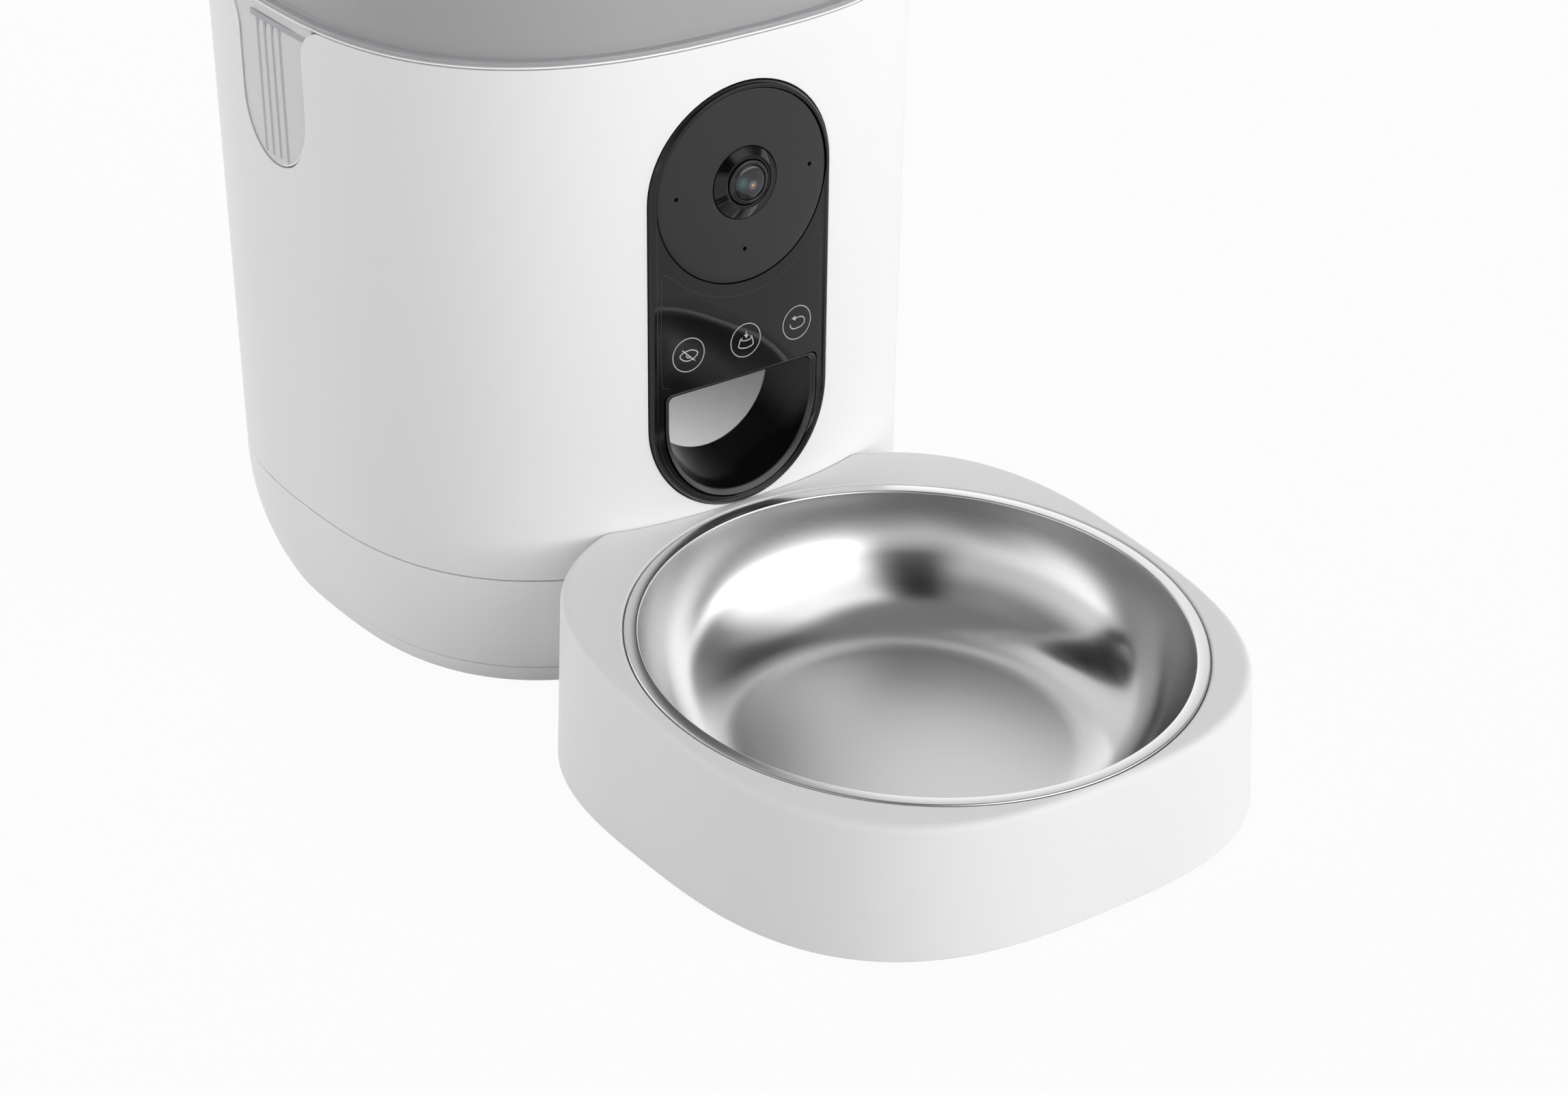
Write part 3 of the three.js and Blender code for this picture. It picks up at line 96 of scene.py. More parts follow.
# Openings in the tower's back and base
GRILLE_Z = 68.0
GRILLE_RADIUS = 12.0
GRILLE_PITCH = 4.6
GRILLE_HALF = 1.0
INLET_HALF = 6.4
INLET_LOW, INLET_TOP = 16.8, 23.2
INLET_ROUND = 3.19
TONGUE_HALF = 25.0
TONGUE_LOW, TONGUE_TOP = 12.0, 16.0
TRAY_ROOM = 0.4

# Feet, screws and battery door under the base, from the tower's axis
FOOT_X, FOOT_Y = 50, 51
SCREW_X, SCREW_Y = 66, 28
FOOT_RADIUS, FOOT_ROOM = 9.5, 0.3
FOOT_RECESS = 2.3
SCREW_HEAD_HOLE, SCREW_HEAD_DEEP = 3.7, 2.5
SCREW_HOLE = 1.8
DOOR_HALF = 48.0
DOOR_FRONT, DOOR_BACK = -33.7, 39.7
RAIL_DEEP = 3.0

# Front panel and camera
PANEL_HALF = 28.3
PANEL_LOW = 77.2
CAMERA_Z = 139.6
PROUD = 0.8
PANEL_DEPTH = 2.4
DISC_RADIUS = 26.3
LENS_RISE = 1.1
LENS_Z = CAMERA_Z + LENS_RISE
LENS_HOLE = 9.9
CONE_RISE = 1.8
BARREL_UP = 0.7
KEY_RADIUS = 4.7
KEY_LINE, KEY_RING_LINE, WINDOW_LINE = 0.3, 0.24, 0.14
PRINT_THICK = 0.035
PINHOLE = 0.6
PINHOLE_REACH, LOW_PINHOLE_REACH = 20.8, 18.4
DISC_THICK = 1.6
DISC_FLAT = 10.4
MARK_STEPS = 64

# Outlet
OUTLET_RADIUS = 24.5
OUTLET_Z = 75.8
OUTLET_TOP = 86.5
TUNNEL_BACK = 68.6
TUNNEL_TAPER = 0.85
TUNNEL_WALL = 1.2
TUNNEL_PROUD = 0.2
TUNNEL_RISE = 2.8
TUNNEL_LENGTH = 17.0
RIM_DEPTH = 1.2
SLIDE_BACK = -15.0
SLIDE_SLOPE = 0.62
SLIDE_TOP = 93.1
SLIDE_WALL = 2.0

# Side notch
NOTCH_Y = 2.2
NOTCH_HALF = 16.4
NOTCH_LOW = 136.3
NOTCH_FLARE = 9.6
RIB_PITCH = 3.84
RIB_COUNT = 4
TAB_GAP = 0.5
TAB_IN, TAB_OUT = -2.2, -0.4
TAB_LINE_THICK = 0.03

# Tank and lid
NECK_TOP = 131.0
COLLAR_LOW = 172.2
TANK_WALL = 2.4
TANK_TOP = 285.0
LID_HALF = 87.6
LID_HEIGHT = 20.4
PLUG_HALF, PLUG_DEEP, PLUG_WALL = 81.2, 10.3, 1.6
FLANGE_THICK = 1.7
HUB_RADIUS = 11.5

# Tray and bowl
TRAY_CENTRE = 156.1
TRAY_TOP_HALF = 78.6
TRAY_HALF = 80.2
TRAY_DEPTH_SHARE = 1.04
TRAY_POWER = 2.8
TRAY_TOP = 43.3
TRAY_PLATE = 2.8
LEAN = radians(4.41)
LEAN_FADE = 8.0
BOWL_CENTRE = 161.7
RIM_RADIUS = 74.3
RIM_WIDTH = 3.5
BOWL_DEPTH = 33.0
BOWL_FLAT = 42.0
LEDGE = 1.3
TRAY_FOOT_RADIUS = 6

DEPTH_SHARE = HALF_DEPTH / HALF_WIDTH
RIM_HEIGHT = TRAY_TOP - tan(LEAN) * (BOWL_CENTRE - TRAY_CENTRE)

low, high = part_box("rotor_case")
AXIS_Y = (low.y + high.y) / 2


# Outlines


def arc(centre, radius, start, end, steps):
    """Points along an arc, both ends included, angles in degrees."""
    angles = [radians(start + (end - start) * i / steps) for i in range(steps + 1)]
    return [(centre[0] + radius * cos(a), centre[1] + radius * sin(a)) for a in angles]


def softened(corners, steps=6, closed=True):
    """A polyline of (x, y, radius) corners with each corner rounded."""
    points = []
    count = len(corners)
    for i, (x, y, radius) in enumerate(corners):
        ends = not closed and i in (0, count - 1)
        if radius <= 0 or ends:
            points.append((x, y))
            continue
        here = Vector((x, y))
        back = (Vector(corners[i - 1][:2]) - here).normalized()
        ahead = (Vector(corners[(i + 1) % count][:2]) - here).normalized()
        half = acos(max(-1.0, min(1.0, back.dot(ahead)))) / 2
        if half > radians(88):
            points.append((x, y))
            continue
        middle = here + (back + ahead).normalized() * (radius / sin(half))
        start = here + back * (radius / tan(half)) - middle
        turn = pi - 2 * half
        sign = 1 if start.cross(here - middle) > 0 else -1
        first = atan2(start.y, start.x)
        for k in range(steps + 1):
            a = first + sign * turn * k / steps
            points.append((middle.x + radius * cos(a), middle.y + radius * sin(a)))
    return points


def stadium(half):
    """The front panel's outline: round above and below."""
    side = 40
    return arc((0, PANEL_LOW), half, 180, 360, side) + arc((0, CAMERA_Z), half, 0, 180, side)


def circle(radius, centre_z=CAMERA_Z, centre_x=0.0, steps=ROUND_STEPS):
    return arc((centre_x, centre_z), radius, 0, 360 - 360 / steps, steps - 1)


def shifted(radius, x, y, steps):
    angles = [2 * pi * k / steps for k in range(steps)]
    return [(x + radius * cos(a), y + radius * sin(a)) for a in angles]


def rectangle(left, low, right, top, radius=0):
    """Four corners with one radius."""
    return [(left, low, radius), (right, low, radius), (right, top, radius), (left, top, radius)]


def outlet(inset):
    """The D-shaped outlet, drawn in by a length."""
    radius = OUTLET_RADIUS - inset
    top = OUTLET_TOP - inset
    corner = 2.0
    rise = top - corner
    return (
        arc((0, OUTLET_Z), radius, 180, 360, 48)
        + arc((radius - corner, rise), corner, 0, 90, 8)
        + arc((corner - radius, rise), corner, 90, 180, 8)
    )


def notch(inset, flare_end=90.0, top=HOUSING_TOP + 3):
    """The side notch in Y and Z, drawn in by a length."""
    half = NOTCH_HALF - inset
    flare = NOTCH_FLARE + inset
    centre = NOTCH_LOW + NOTCH_HALF
    level = HOUSING_TOP - NOTCH_FLARE - inset
    right = arc((NOTCH_Y + half + flare, level), flare, 180, flare_end, 14)
    left = [(2 * NOTCH_Y - y, z) for y, z in reversed(right)]
    low_arc = arc((NOTCH_Y, centre), half, 180, 360, 36)
    return low_arc + right + [(right[-1][0], top), (left[0][0], top)] + left


# Surfaces of the tower and the tray


def half_width(z):
    return HALF_WIDTH + DRAFT * (z - SEAM)


def base_reach(z):
    share = (z - FOOT_SEAM) / (SEAM - FOOT_SEAM)
    return FOOT_RING_HALF + (HALF_WIDTH - FOOT_RING_HALF) * (1 - (1 - share) ** BASE_CURVE)


def face_front(x, z, out):
    """Distance of the tower's face in front of its axis."""
    reach = half_width(z) + out
    return DEPTH_SHARE * reach * (1 - (abs(x) / reach) ** TOWER_POWER) ** (1 / TOWER_POWER)


def on_face(points, out):
    return [(x, -face_front(x, z, out), z) for x, z in points]


def face_side(y, z, out):
    """Distance of the tower's face beside its axis."""
    reach = half_width(z) + out
    return reach * (1 - (abs(y) / (reach * DEPTH_SHARE)) ** TOWER_POWER) ** (1 / TOWER_POWER)


def tower_section(_):
    return TOWER_POWER, DEPTH_SHARE


def tray_section(_):
    return TRAY_POWER, TRAY_DEPTH_SHARE


def round_section(_):
    return 2.0, 1.0


def tank_section(z):
    share = min(1.0, max(0.0, (z - NECK_TOP) / (COLLAR_LOW - NECK_TOP)))
    return 2 + (TOWER_POWER - 2) * share, 1 + (DEPTH_SHARE - 1) * share


# Meshes


def placed(point):
    return (point[0] * MM, point[1] * MM + AXIS_Y, point[2] * MM)


def mesh_of(name, points, faces, sharp=SHARP):
    """A closed mesh from millimetre points, normals outwards, smooth but for its sharp edges."""
    mesh = bpy.data.meshes.new(name)
    mesh.from_pydata([placed(p) for p in points], [], faces)
    shell = bmesh.new()
    shell.from_mesh(mesh)
    bmesh.ops.remove_doubles(shell, verts=shell.verts, dist=1e-7)
    bmesh.ops.dissolve_degenerate(shell, edges=shell.edges, dist=1e-7)
    bmesh.ops.recalc_face_normals(shell, faces=shell.faces)
    shell.to_mesh(mesh)
    shell.free()
    mesh.shade_smooth()
    mesh.set_sharp_from_angle(angle=sharp)
    return mesh


def rings_mesh(name, rings, capped=True, closed=False, sharp=SHARP):
    """Skins a list of rings with the same number of points; closed joins the last ring to the first."""
    count = len(rings[0])
    points = [p for ring in rings for p in ring]
    faces = []
    last = len(rings) if closed else len(rings) - 1
    for i in range(last):
        a, b = i * count, ((i + 1) % len(rings)) * count
        faces += [(a + k, a + (k + 1) % count, b + (k + 1) % count, b + k) for k in range(count)]
    if capped and not closed:
        faces.append(tuple(range(count)))
        faces.append(tuple(range(len(points) - count, len(points))))
    return mesh_of(name, points, faces, sharp)


def turned(name, profile, section=round_section, steps=BODY_STEPS, sharp=SHARP, place=None):
    """A profile of (reach, height) turned about the axis: it closes on itself, or starts and ends there."""
    rings = []
    for reach, height in profile:
        power, depth = section(height)
        ring = []
        for k in range(steps):
            a = 2 * pi * k / steps
            push = (abs(cos(a)) ** power + abs(sin(a)) ** power) ** (-1 / power)
            ring.append((reach * push * cos(a), reach * push * sin(a) * depth, height))
        rings.append([place(p) for p in ring] if place else ring)
    on_axis = profile[0][0] == 0
    return rings_mesh(name, rings, capped=False, closed=not on_axis, sharp=sharp)


def turned_soft(name, corners, fine, section=round_section, closed=True, **more):
    """Corners of (reach, height, radius), rounded and then turned about the axis."""
    return turned(name, softened(corners, fine, closed), section, **more)


def front_plate(name, levels, outline, closed=False, sharp=SHARP):
    """A plate that follows the tower's face: levels of (outline value, distance out of the face)."""
    rings = [on_face(outline(value), out) for value, out in levels]
    return rings_mesh(name, rings, closed=closed, sharp=sharp)


def prism_y(name, outline, front, back):
    rings = [[(x, y, z) for x, z in outline] for y in (front, back)]
    return rings_mesh(name, rings)


def prism_x(name, outline, left, right):
    rings = [[(x, y, z) for y, z in outline] for x in (left, right)]
    return rings_mesh(name, rings)


def prism_z(name, outline, bottom, top):
    rings = [[(x, y, z) for x, y in outline] for z in (bottom, top)]
    return rings_mesh(name, rings)


def about_camera(point):
    """Turns a profile about the camera's axis: height becomes depth behind the disc's face, and what stands
    out of the face sits a little higher."""
    x, y, depth = point
    up = BARREL_UP * min(1.0, max(0.0, -depth / CONE_RISE))
    return (x, depth - face_front(0, CAMERA_Z, PROUD), LENS_Z + y + up)


def at_bowl(point):
    """Places a shape drawn round the bowl's axis, its rim plane at height 0, in the leaning tray."""
    x, y, z = point
    return (x, y * cos(LEAN) - z * sin(LEAN) - BOWL_CENTRE, y * sin(LEAN) + z * cos(LEAN) + RIM_HEIGHT)


def leaned(point):
    """Leans the tray's shape: whole at the top, nothing at the underside."""
    x, y, z = point
    share = min(1.0, max(0.0, (z - UNDERSIDE) / (TRAY_TOP - LEAN_FADE - UNDERSIDE)))
    return (x, y - TRAY_CENTRE, z + tan(LEAN) * y * share)


def object_of(name, mesh):
    thing = bpy.data.objects.new(name, mesh)
    bpy.context.scene.collection.objects.link(thing)
    return thing


def corner_normals(mesh):
    return [Vector(n.vector) for n in mesh.corner_normals]


def inherit_normals(mesh, sources):
    """Gives each face of a cut mesh the smooth normals of the surface that it came from."""
    known = []
    for source in sources:
        places = [v.co.copy() for v in source.vertices]
        polygons = [tuple(p.vertices) for p in source.polygons]
        tree = BVHTree.FromPolygons(places, polygons)
        known.append((tree, places, source, corner_normals(source)))
    own = corner_normals(mesh)
    made = list(own)
    for face in mesh.polygons:
        best = None
        for tree, places, source, normals in known:
            spot, normal, index, distance = tree.find_nearest(face.center)
            if distance > 5e-5 or abs(normal.dot(face.normal)) < 0.985:
                continue
            if best is None or distance < best[0]:
                best = (distance, tree, places, source, normals)
        if best is None:
            continue
        _, tree, places, source, normals = best
        for k in face.loop_indices:
            spot = mesh.vertices[mesh.loops[k].vertex_index].co
            inside = spot + (face.center - spot) * 0.002
            _, normal, index, _ = tree.find_nearest(inside)
            if index is None or abs(normal.dot(face.normal)) < 0.97:
                continue
            polygon = source.polygons[index]
            weights = poly_3d_calc([places[v] for v in polygon.vertices], inside)
            blend = Vector((0, 0, 0))
            for weight, loop in zip(weights, polygon.loop_indices):
                blend += normals[loop] * weight
            if blend.length > 0.5:
                made[k] = blend.normalized() * (1 if normal.dot(face.normal) > 0 else -1)
    mesh.normals_split_custom_set([tuple(n) for n in made])
    return mesh


def settled(thing):
    """An object's mesh with its modifiers applied, smooth but for its sharp edges."""
    bpy.context.view_layer.update()
    graph = bpy.context.evaluated_depsgraph_get()
    mesh = bpy.data.meshes.new_from_object(thing.evaluated_get(graph))
    mesh.shade_smooth()
    mesh.set_sharp_from_angle(angle=SHARP)
    return mesh


def carved(mesh, tools, operation="DIFFERENCE"):
    """A mesh cut by, or kept inside, other closed meshes, with its smooth shading kept."""
    base = object_of("base", mesh)
    helpers = []
    for tool in tools:
        helper = object_of("tool", tool)
        helpers.append(helper)
        cut = base.modifiers.new("cut", "BOOLEAN")
        cut.object = helper
        cut.operation = operation
        cut.solver = "MANIFOLD"
    result = settled(base)
    result.name = mesh.name
    for helper in [base, *helpers]:
        bpy.data.objects.remove(helper)
    return inherit_normals(result, [mesh, *tools])


def piece(name, mesh, material, body, slot, *nodes):
    """A finished piece: its mesh, material, the body that it rides on and the nodes that it stands for."""
    thing = object_of(name, mesh)
    mesh.materials.clear()
    mesh.materials.append(material)
    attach(thing, body)
    if nodes:
        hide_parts(*nodes)
    return thing


def joined(name, meshes):
    """Several meshes as one, each with its own shading."""
    parts = [object_of("part", m) for m in meshes]
    with bpy.context.temp_override(active_object=parts[0], selected_editable_objects=parts):
        bpy.ops.object.join()
    mesh = parts[0].data
    bpy.data.objects.remove(parts[0])
    mesh.name = name
    return mesh


# Shader groups and materials


def grey(level):
    """A grey as it is seen, 0 to 255, as a colour for a shader."""
    share = level / 255
    linear = share / 12.92 if share <= 0.04045 else ((share + 0.055) / 1.055) ** 2.4
    return (linear, linear, linear, 1)


def tone(red, green, blue):
    return tuple(grey(level)[0] for level in (red, green, blue)) + (1,)


def wire(tree, output, target):
    tree.links.new(output, target)


def feed(tree, node, label, value):
    """Gives a node's input, by name or by place, a value or another node's output."""
    socket = node.inputs[int(label)] if label.isdigit() else node.inputs[label]
    if isinstance(value, bpy.types.NodeSocket):
        tree.links.new(value, socket)
    else:
        socket.default_value = value


def added(tree, kind, settings=None, **inputs):
    """A new node with its settings and inputs; _0 and _1 are inputs by place."""
    made = tree.nodes.new(kind)
    for key, value in (settings or {}).items():
        setattr(made, key, value)
    for label, value in inputs.items():
        feed(tree, made, label.replace("_", " ").strip(), value)
    return made


def result_of(tree, operation, *values):
    """The output of a Math node."""
    made = added(tree, "ShaderNodeMath", {"operation": operation})
    for place, value in enumerate(values):
        feed(tree, made, str(place), value)
    return made.outputs[0]


def ramp_of(tree, value, stops):
    """A ramp through (place, colour) stops."""
    ramp = added(tree, "ShaderNodeValToRGB", Fac=value)
    bar = ramp.color_ramp
    for element, (place, colour) in zip(bar.elements, (stops[0], stops[-1])):
        element.position, element.color = place, colour
    for place, colour in stops[1:-1]:
        bar.elements.new(place).color = colour
    return ramp.outputs["Color"]


def group_of(name, inputs, outputs):
    """A shader group with its inputs' first values; an output named Colour is one, others are values."""
    tree = bpy.data.node_groups.new(name, "ShaderNodeTree")
    kinds = {4: "NodeSocketColor", 3: "NodeSocketVector"}
    for label, value in inputs.items():
        kind = kinds[len(value)] if isinstance(value, tuple) else "NodeSocketFloat"
        tree.interface.new_socket(label, in_out="INPUT", socket_type=kind).default_value = value
    for label in outputs:
        kind = "NodeSocketColor" if label == "Colour" else "NodeSocketFloat"
        tree.interface.new_socket(label, in_out="OUTPUT", socket_type=kind)
    given, put = tree.nodes.new("NodeGroupInput"), tree.nodes.new("NodeGroupOutput")
    return tree, given.outputs, put.inputs


def moulded_skin():
    """Fine spark-eroded grain with slow cloudy variation, as on moulded plastic or rubber."""
    tree, given, put = group_of(
        "moulded_skin",
        {
            "Colour": (0.8, 0.8, 0.8, 1), "Grain per metre": 2500, "Cloud per metre": 25,
            "Cloud share": 0.03, "Roughness": 0.4, "Roughness spread": 0.06,
        },
        ["Colour", "Roughness", "Height"],
    )
    place = tree.nodes.new("ShaderNodeTexCoord").outputs["Object"]
    grain = added(tree, "ShaderNodeTexNoise", Vector=place, Scale=given["Grain per metre"], Detail=3)
    cloud = added(tree, "ShaderNodeTexNoise", Vector=place, Scale=given["Cloud per metre"], Detail=2)
    cloud = cloud.outputs["Fac"]
    darker = result_of(tree, "MULTIPLY", cloud, given["Cloud share"])
    shade = added(
        tree, "ShaderNodeMix", {"data_type": "RGBA"}, Factor=darker, A=given["Colour"], B=(0, 0, 0, 1)
    )
    offset = result_of(tree, "SUBTRACT", cloud, 0.5)
    rough = result_of(tree, "MULTIPLY_ADD", offset, given["Roughness spread"], given["Roughness"])
    wire(tree, shade.outputs["Result"], put["Colour"])
    wire(tree, rough, put["Roughness"])
    wire(tree, grain.outputs["Fac"], put["Height"])
    return tree


def drawn_metal():
    """Long fine rings round a vertical axis through a centre, as left by spinning and polishing, duller
    inside one reach and beyond another."""
    tree, given, put = group_of(
        "drawn_metal",
        {
            "Centre": (0, 0, 0), "Rings per metre": 1400, "Roughness": 0.2, "Roughness spread": 0.05,
            "Polished from": 0.05, "Polished to": 0.0675, "Dull roughness": 0.0,
        },
        ["Roughness", "Height"],
    )
    place = tree.nodes.new("ShaderNodeTexCoord").outputs["Object"]
    moved = added(tree, "ShaderNodeVectorMath", {"operation": "SUBTRACT"}, _0=place, _1=given["Centre"])
    length = added(tree, "ShaderNodeVectorMath", {"operation": "LENGTH"}, _0=moved.outputs["Vector"])
    reach = length.outputs["Value"]
    rings = added(
        tree, "ShaderNodeTexNoise", {"noise_dimensions": "1D"}, W=reach, Scale=given["Rings per metre"],
        Detail=2,
    )
    rings = rings.outputs["Fac"]
    rough = result_of(tree, "MULTIPLY_ADD", rings, given["Roughness spread"], given["Roughness"])
    dull_parts = []
    for label, fade, start, end in (("Polished from", 1.25, 1, 0), ("Polished to", 1.04, 0, 0.45)):
        part = added(
            tree, "ShaderNodeMapRange", {"interpolation_type": "SMOOTHSTEP"}, Value=reach,
            From_Min=given[label], From_Max=result_of(tree, "MULTIPLY", given[label], fade), To_Min=start,
            To_Max=end,
        )
        dull_parts.append(part.outputs["Result"])
    dull = result_of(tree, "MAXIMUM", *dull_parts)
    wire(tree, result_of(tree, "MULTIPLY_ADD", dull, given["Dull roughness"], rough), put["Roughness"])
    wire(tree, rings, put["Height"])
    return tree


SKIN = moulded_skin()
DRAWN = drawn_metal()


def shader(name, **sockets):
    material = bpy.data.materials.new(name)
    material.use_nodes = True
    principled = material.node_tree.nodes["Principled BSDF"]
    for label, value in sockets.items():
        principled.inputs[label.replace("_", " ")].default_value = value
    return material, principled


def coated(material, principled, group, depth, strength, **inputs):
    """Gives a material a group's roughness and its fine relief, and returns the group's node."""
    tree = material.node_tree
    skin = added(tree, "ShaderNodeGroup", {"node_tree": group}, **inputs)
    wire(tree, skin.outputs["Roughness"], principled.inputs["Roughness"])
    bump = added(
        tree, "ShaderNodeBump", Distance=depth, Strength=strength, Height=skin.outputs["Height"]
    )
    wire(tree, bump.outputs["Normal"], principled.inputs["Normal"])
    return skin


def moulded(name, colour, roughness=0.4, spread=0.06, grain=2500, cloud=0.03, depth=1e-5, **sockets):
    """Plastic, rubber, paper or paint with the moulded skin."""
    material, principled = shader(name, **sockets)
    skin = coated(
        material, principled, SKIN, depth, 0.5, Colour=colour, Grain_per_metre=grain, Cloud_share=cloud,
        Roughness=roughness, Roughness_spread=spread,
    )
    wire(material.node_tree, skin.outputs["Colour"], principled.inputs["Base Color"])
    return material


def metal(name, colour, centre, roughness, spread, rings, dull=0.0):
    """Metal with the drawn rings."""
    material, principled = shader(name, Metallic=1.0, Base_Color=colour)
    coated(
        material, principled, DRAWN, 2e-6, 0.5, Centre=centre, Rings_per_metre=rings, Roughness=roughness,
        Roughness_spread=spread, Dull_roughness=dull,
    )
    return material


BOWL_PLACE = placed((0, -BOWL_CENTRE, RIM_HEIGHT))
AXIS_PLACE = placed((0, 0, 0))

white = moulded("satin_white_plastic", grey(236), roughness=0.46, spread=0.05, cloud=0.015)
# A slightly darker copy of the white plastic for the tray: painted shade that dims the tray's upward top.
shaded_tray_white = moulded("tray_white_plastic", grey(232), roughness=0.5, spread=0.05, cloud=0.015)
gloss_black = moulded("gloss_black_panel", grey(7), roughness=0.035, spread=0.02, grain=900, cloud=0.2,
                      depth=2e-7, Specular_IOR_Level=0.38)
disc_grey = moulded("satin_black_disc", grey(30), roughness=0.34, spread=0.04, grain=3500, cloud=0.05,
                    depth=4e-6, Specular_IOR_Level=0.42)
deep_black = moulded("matte_black", grey(14), roughness=0.55, grain=3000)
barrel_black = moulded("lens_barrel_black", grey(16), roughness=0.22, spread=0.05, grain=3000, depth=1e-6)
tunnel_black = moulded("satin_black_tunnel", grey(12), roughness=0.16, spread=0.03, grain=3000, depth=5e-7)
# A lighter grey copy of the tunnel's black for the outlet's rim: painted sheen on its bevel.
rim_sheen_grey = moulded("rim_painted_sheen", grey(48), roughness=0.2, spread=0.03, grain=3000, depth=5e-7)
chute_grey = moulded("slide_grey", grey(228), roughness=0.42, spread=0.05)
rubber = moulded("foot_rubber", grey(112), roughness=0.8, grain=1800, cloud=0.1, depth=4e-5)
silicone = moulded("wheel_silicone", grey(150), roughness=0.65, grain=2200, cloud=0.06)
nylon = moulded("gear_nylon", tone(228, 224, 212), roughness=0.5, cloud=0.05)
frame_grey = moulded("inner_grey_plastic", grey(176), roughness=0.5)
board_green = moulded("circuit_board", tone(24, 88, 54), roughness=0.4, grain=700, cloud=0.3, depth=2e-5)
paper = moulded("desiccant_paper", tone(232, 229, 220), roughness=0.9, grain=1500, cloud=0.1, depth=8e-5)
print_grey = moulded("key_print", grey(178), roughness=0.35)
print_dark = moulded("touch_window_edge", grey(44), roughness=0.2)
bowl_steel = metal("polished_steel", grey(210), BOWL_PLACE, 0.15, spread=0.03, rings=1800, dull=0.2)
zinc = metal("zinc_plate", grey(190), AXIS_PLACE, 0.3, spread=0.1, rings=900)


def clear_plastic(name, colour, roughness, spread, clear):
    """Clear plastic, by a share, with the moulded skin."""
    material, principled = shader(
        name, Base_Color=colour, Transmission_Weight=clear, IOR=1.47, Metallic=0.0
    )
    coated(
        material, principled, SKIN, 2e-6, 0.3, Grain_per_metre=600, Roughness=roughness,
        Roughness_spread=spread,
    )
    return material


tank_clear = clear_plastic("smoky_tank", tone(226, 226, 228), 0.31, 0.05, clear=0.62)
tab_clear = clear_plastic("clear_tab", tone(250, 250, 252), 0.14, 0.03, clear=0.36)
# A darker copy of the clear plastic for strips on the tabs: painted shade of the ribs behind them.
rib_shade_plastic = clear_plastic("painted_rib_shade", tone(190, 190, 194), 0.2, 0.03, clear=0.2)
# A darker copy of the clear plastic for the strip under the flange: painted shadow.
flange_shadow_plastic = clear_plastic("painted_flange_shadow", tone(178, 178, 182), 0.25, 0.03, clear=0.1)
# Pure white for thin strips on the flange and the tabs' rims: painted highlights.
painted_highlight_plastic = clear_plastic("painted_highlight_white", tone(255, 255, 255), 0.12, 0.03, clear=0.05)


# Geometry node trees


class Tree:
    """A geometry tree with named inputs, ending in realised instances with a material."""

    def __init__(self, name, inputs, material):
        self.tree = bpy.data.node_groups.new(name, "GeometryNodeTree")
        self.sockets = {}
        kinds = {int: "NodeSocketInt", float: "NodeSocketFloat", tuple: "NodeSocketVector"}
        for label, value in inputs.items():
            socket = self.tree.interface.new_socket(label, in_out="INPUT", socket_type=kinds[type(value)])
            socket.default_value = value
            self.sockets[label] = socket.identifier
        self.tree.interface.new_socket("Geometry", in_out="OUTPUT", socket_type="NodeSocketGeometry")
        self.given = self.tree.nodes.new("NodeGroupInput")
        self.material = material

    def node(self, kind, settings=None, **inputs):
        return added(self.tree, kind, settings, **inputs)

    def value(self, label):
        return self.given.outputs[label]

    def vector(self, x=0.0, y=0.0, z=0.0):
        return self.node("ShaderNodeCombineXYZ", X=x, Y=y, Z=z).outputs[0]

    def math(self, operation, first, second):
        return result_of(self.tree, operation, first, second)

    def combined(self, operation, others, **inputs):
        made = self.node(
            "GeometryNodeMeshBoolean", {"operation": operation, "solver": "MANIFOLD"}, **inputs
        )
        for other in others:
            feed(self.tree, made, "Mesh 2", other.outputs[0])
        return made

    def finished(self, copies):
        """Ends the tree with these copies, as real meshes with its material."""
        realised = self.node("GeometryNodeRealizeInstances", Geometry=copies.outputs[0]).outputs[0]
        painted = self.node("GeometryNodeSetMaterial", Geometry=realised, Material=self.material)
        self.node("NodeGroupOutput", _0=painted.outputs[0])
        return self

    def grown(self, name, **values):
        """The tree's result with these sizes, as a plain mesh."""
        carrier = object_of(name, bpy.data.meshes.new(name))
        maker = carrier.modifiers.new("made", "NODES")
        maker.node_group = self.tree
        for label, value in values.items():
            maker[self.sockets[label.replace("_", " ")]] = value
        mesh = settled(carrier)
        bpy.data.objects.remove(carrier)
        return mesh


def soft_bar(tree, width, depth, radius, start, end):
    """A bar of a rounded rectangular section between two points."""
    section = tree.node("GeometryNodeCurvePrimitiveQuadrilateral", Width=width, Height=depth)
    eased = tree.node(
        "GeometryNodeFilletCurve", {"mode": "POLY"}, Curve=section.outputs[0], Count=4, Radius=radius
    )
    line = tree.node("GeometryNodeCurvePrimitiveLine", Start=start, End=end)
    bar = tree.node(
        "GeometryNodeCurveToMesh", Curve=line.outputs[0], Profile_Curve=eased.outputs[0], Fill_Caps=True
    )
    return bar.outputs[0]


def row_tree():
    """Upright bars side by side along Y, such as the ribs of a press tab or the door's grip."""
    tree = Tree(
        "row_of_bars",
        {
            "Count": 4, "Pitch": 0.005, "Width": 0.001, "Depth": 0.002, "Radius": 0.0003,
            "Start": (0, 0, 0), "End": (0, 0, 0.01), "Step": (0, 1, 0),
        },
        tab_clear,
    )
    bar = soft_bar(tree, *[tree.value(label) for label in ("Depth", "Width", "Radius", "Start", "End")])
    step = tree.node(
        "ShaderNodeVectorMath", {"operation": "SCALE"}, _0=tree.value("Step"), Scale=tree.value("Pitch")
    )
    row = tree.node(
        "GeometryNodeMeshLine", {"mode": "OFFSET"}, Count=tree.value("Count"), Offset=step.outputs[0]
    )
    copies = tree.node("GeometryNodeInstanceOnPoints", Points=row.outputs[0], Instance=bar)
    return tree.finished(copies)


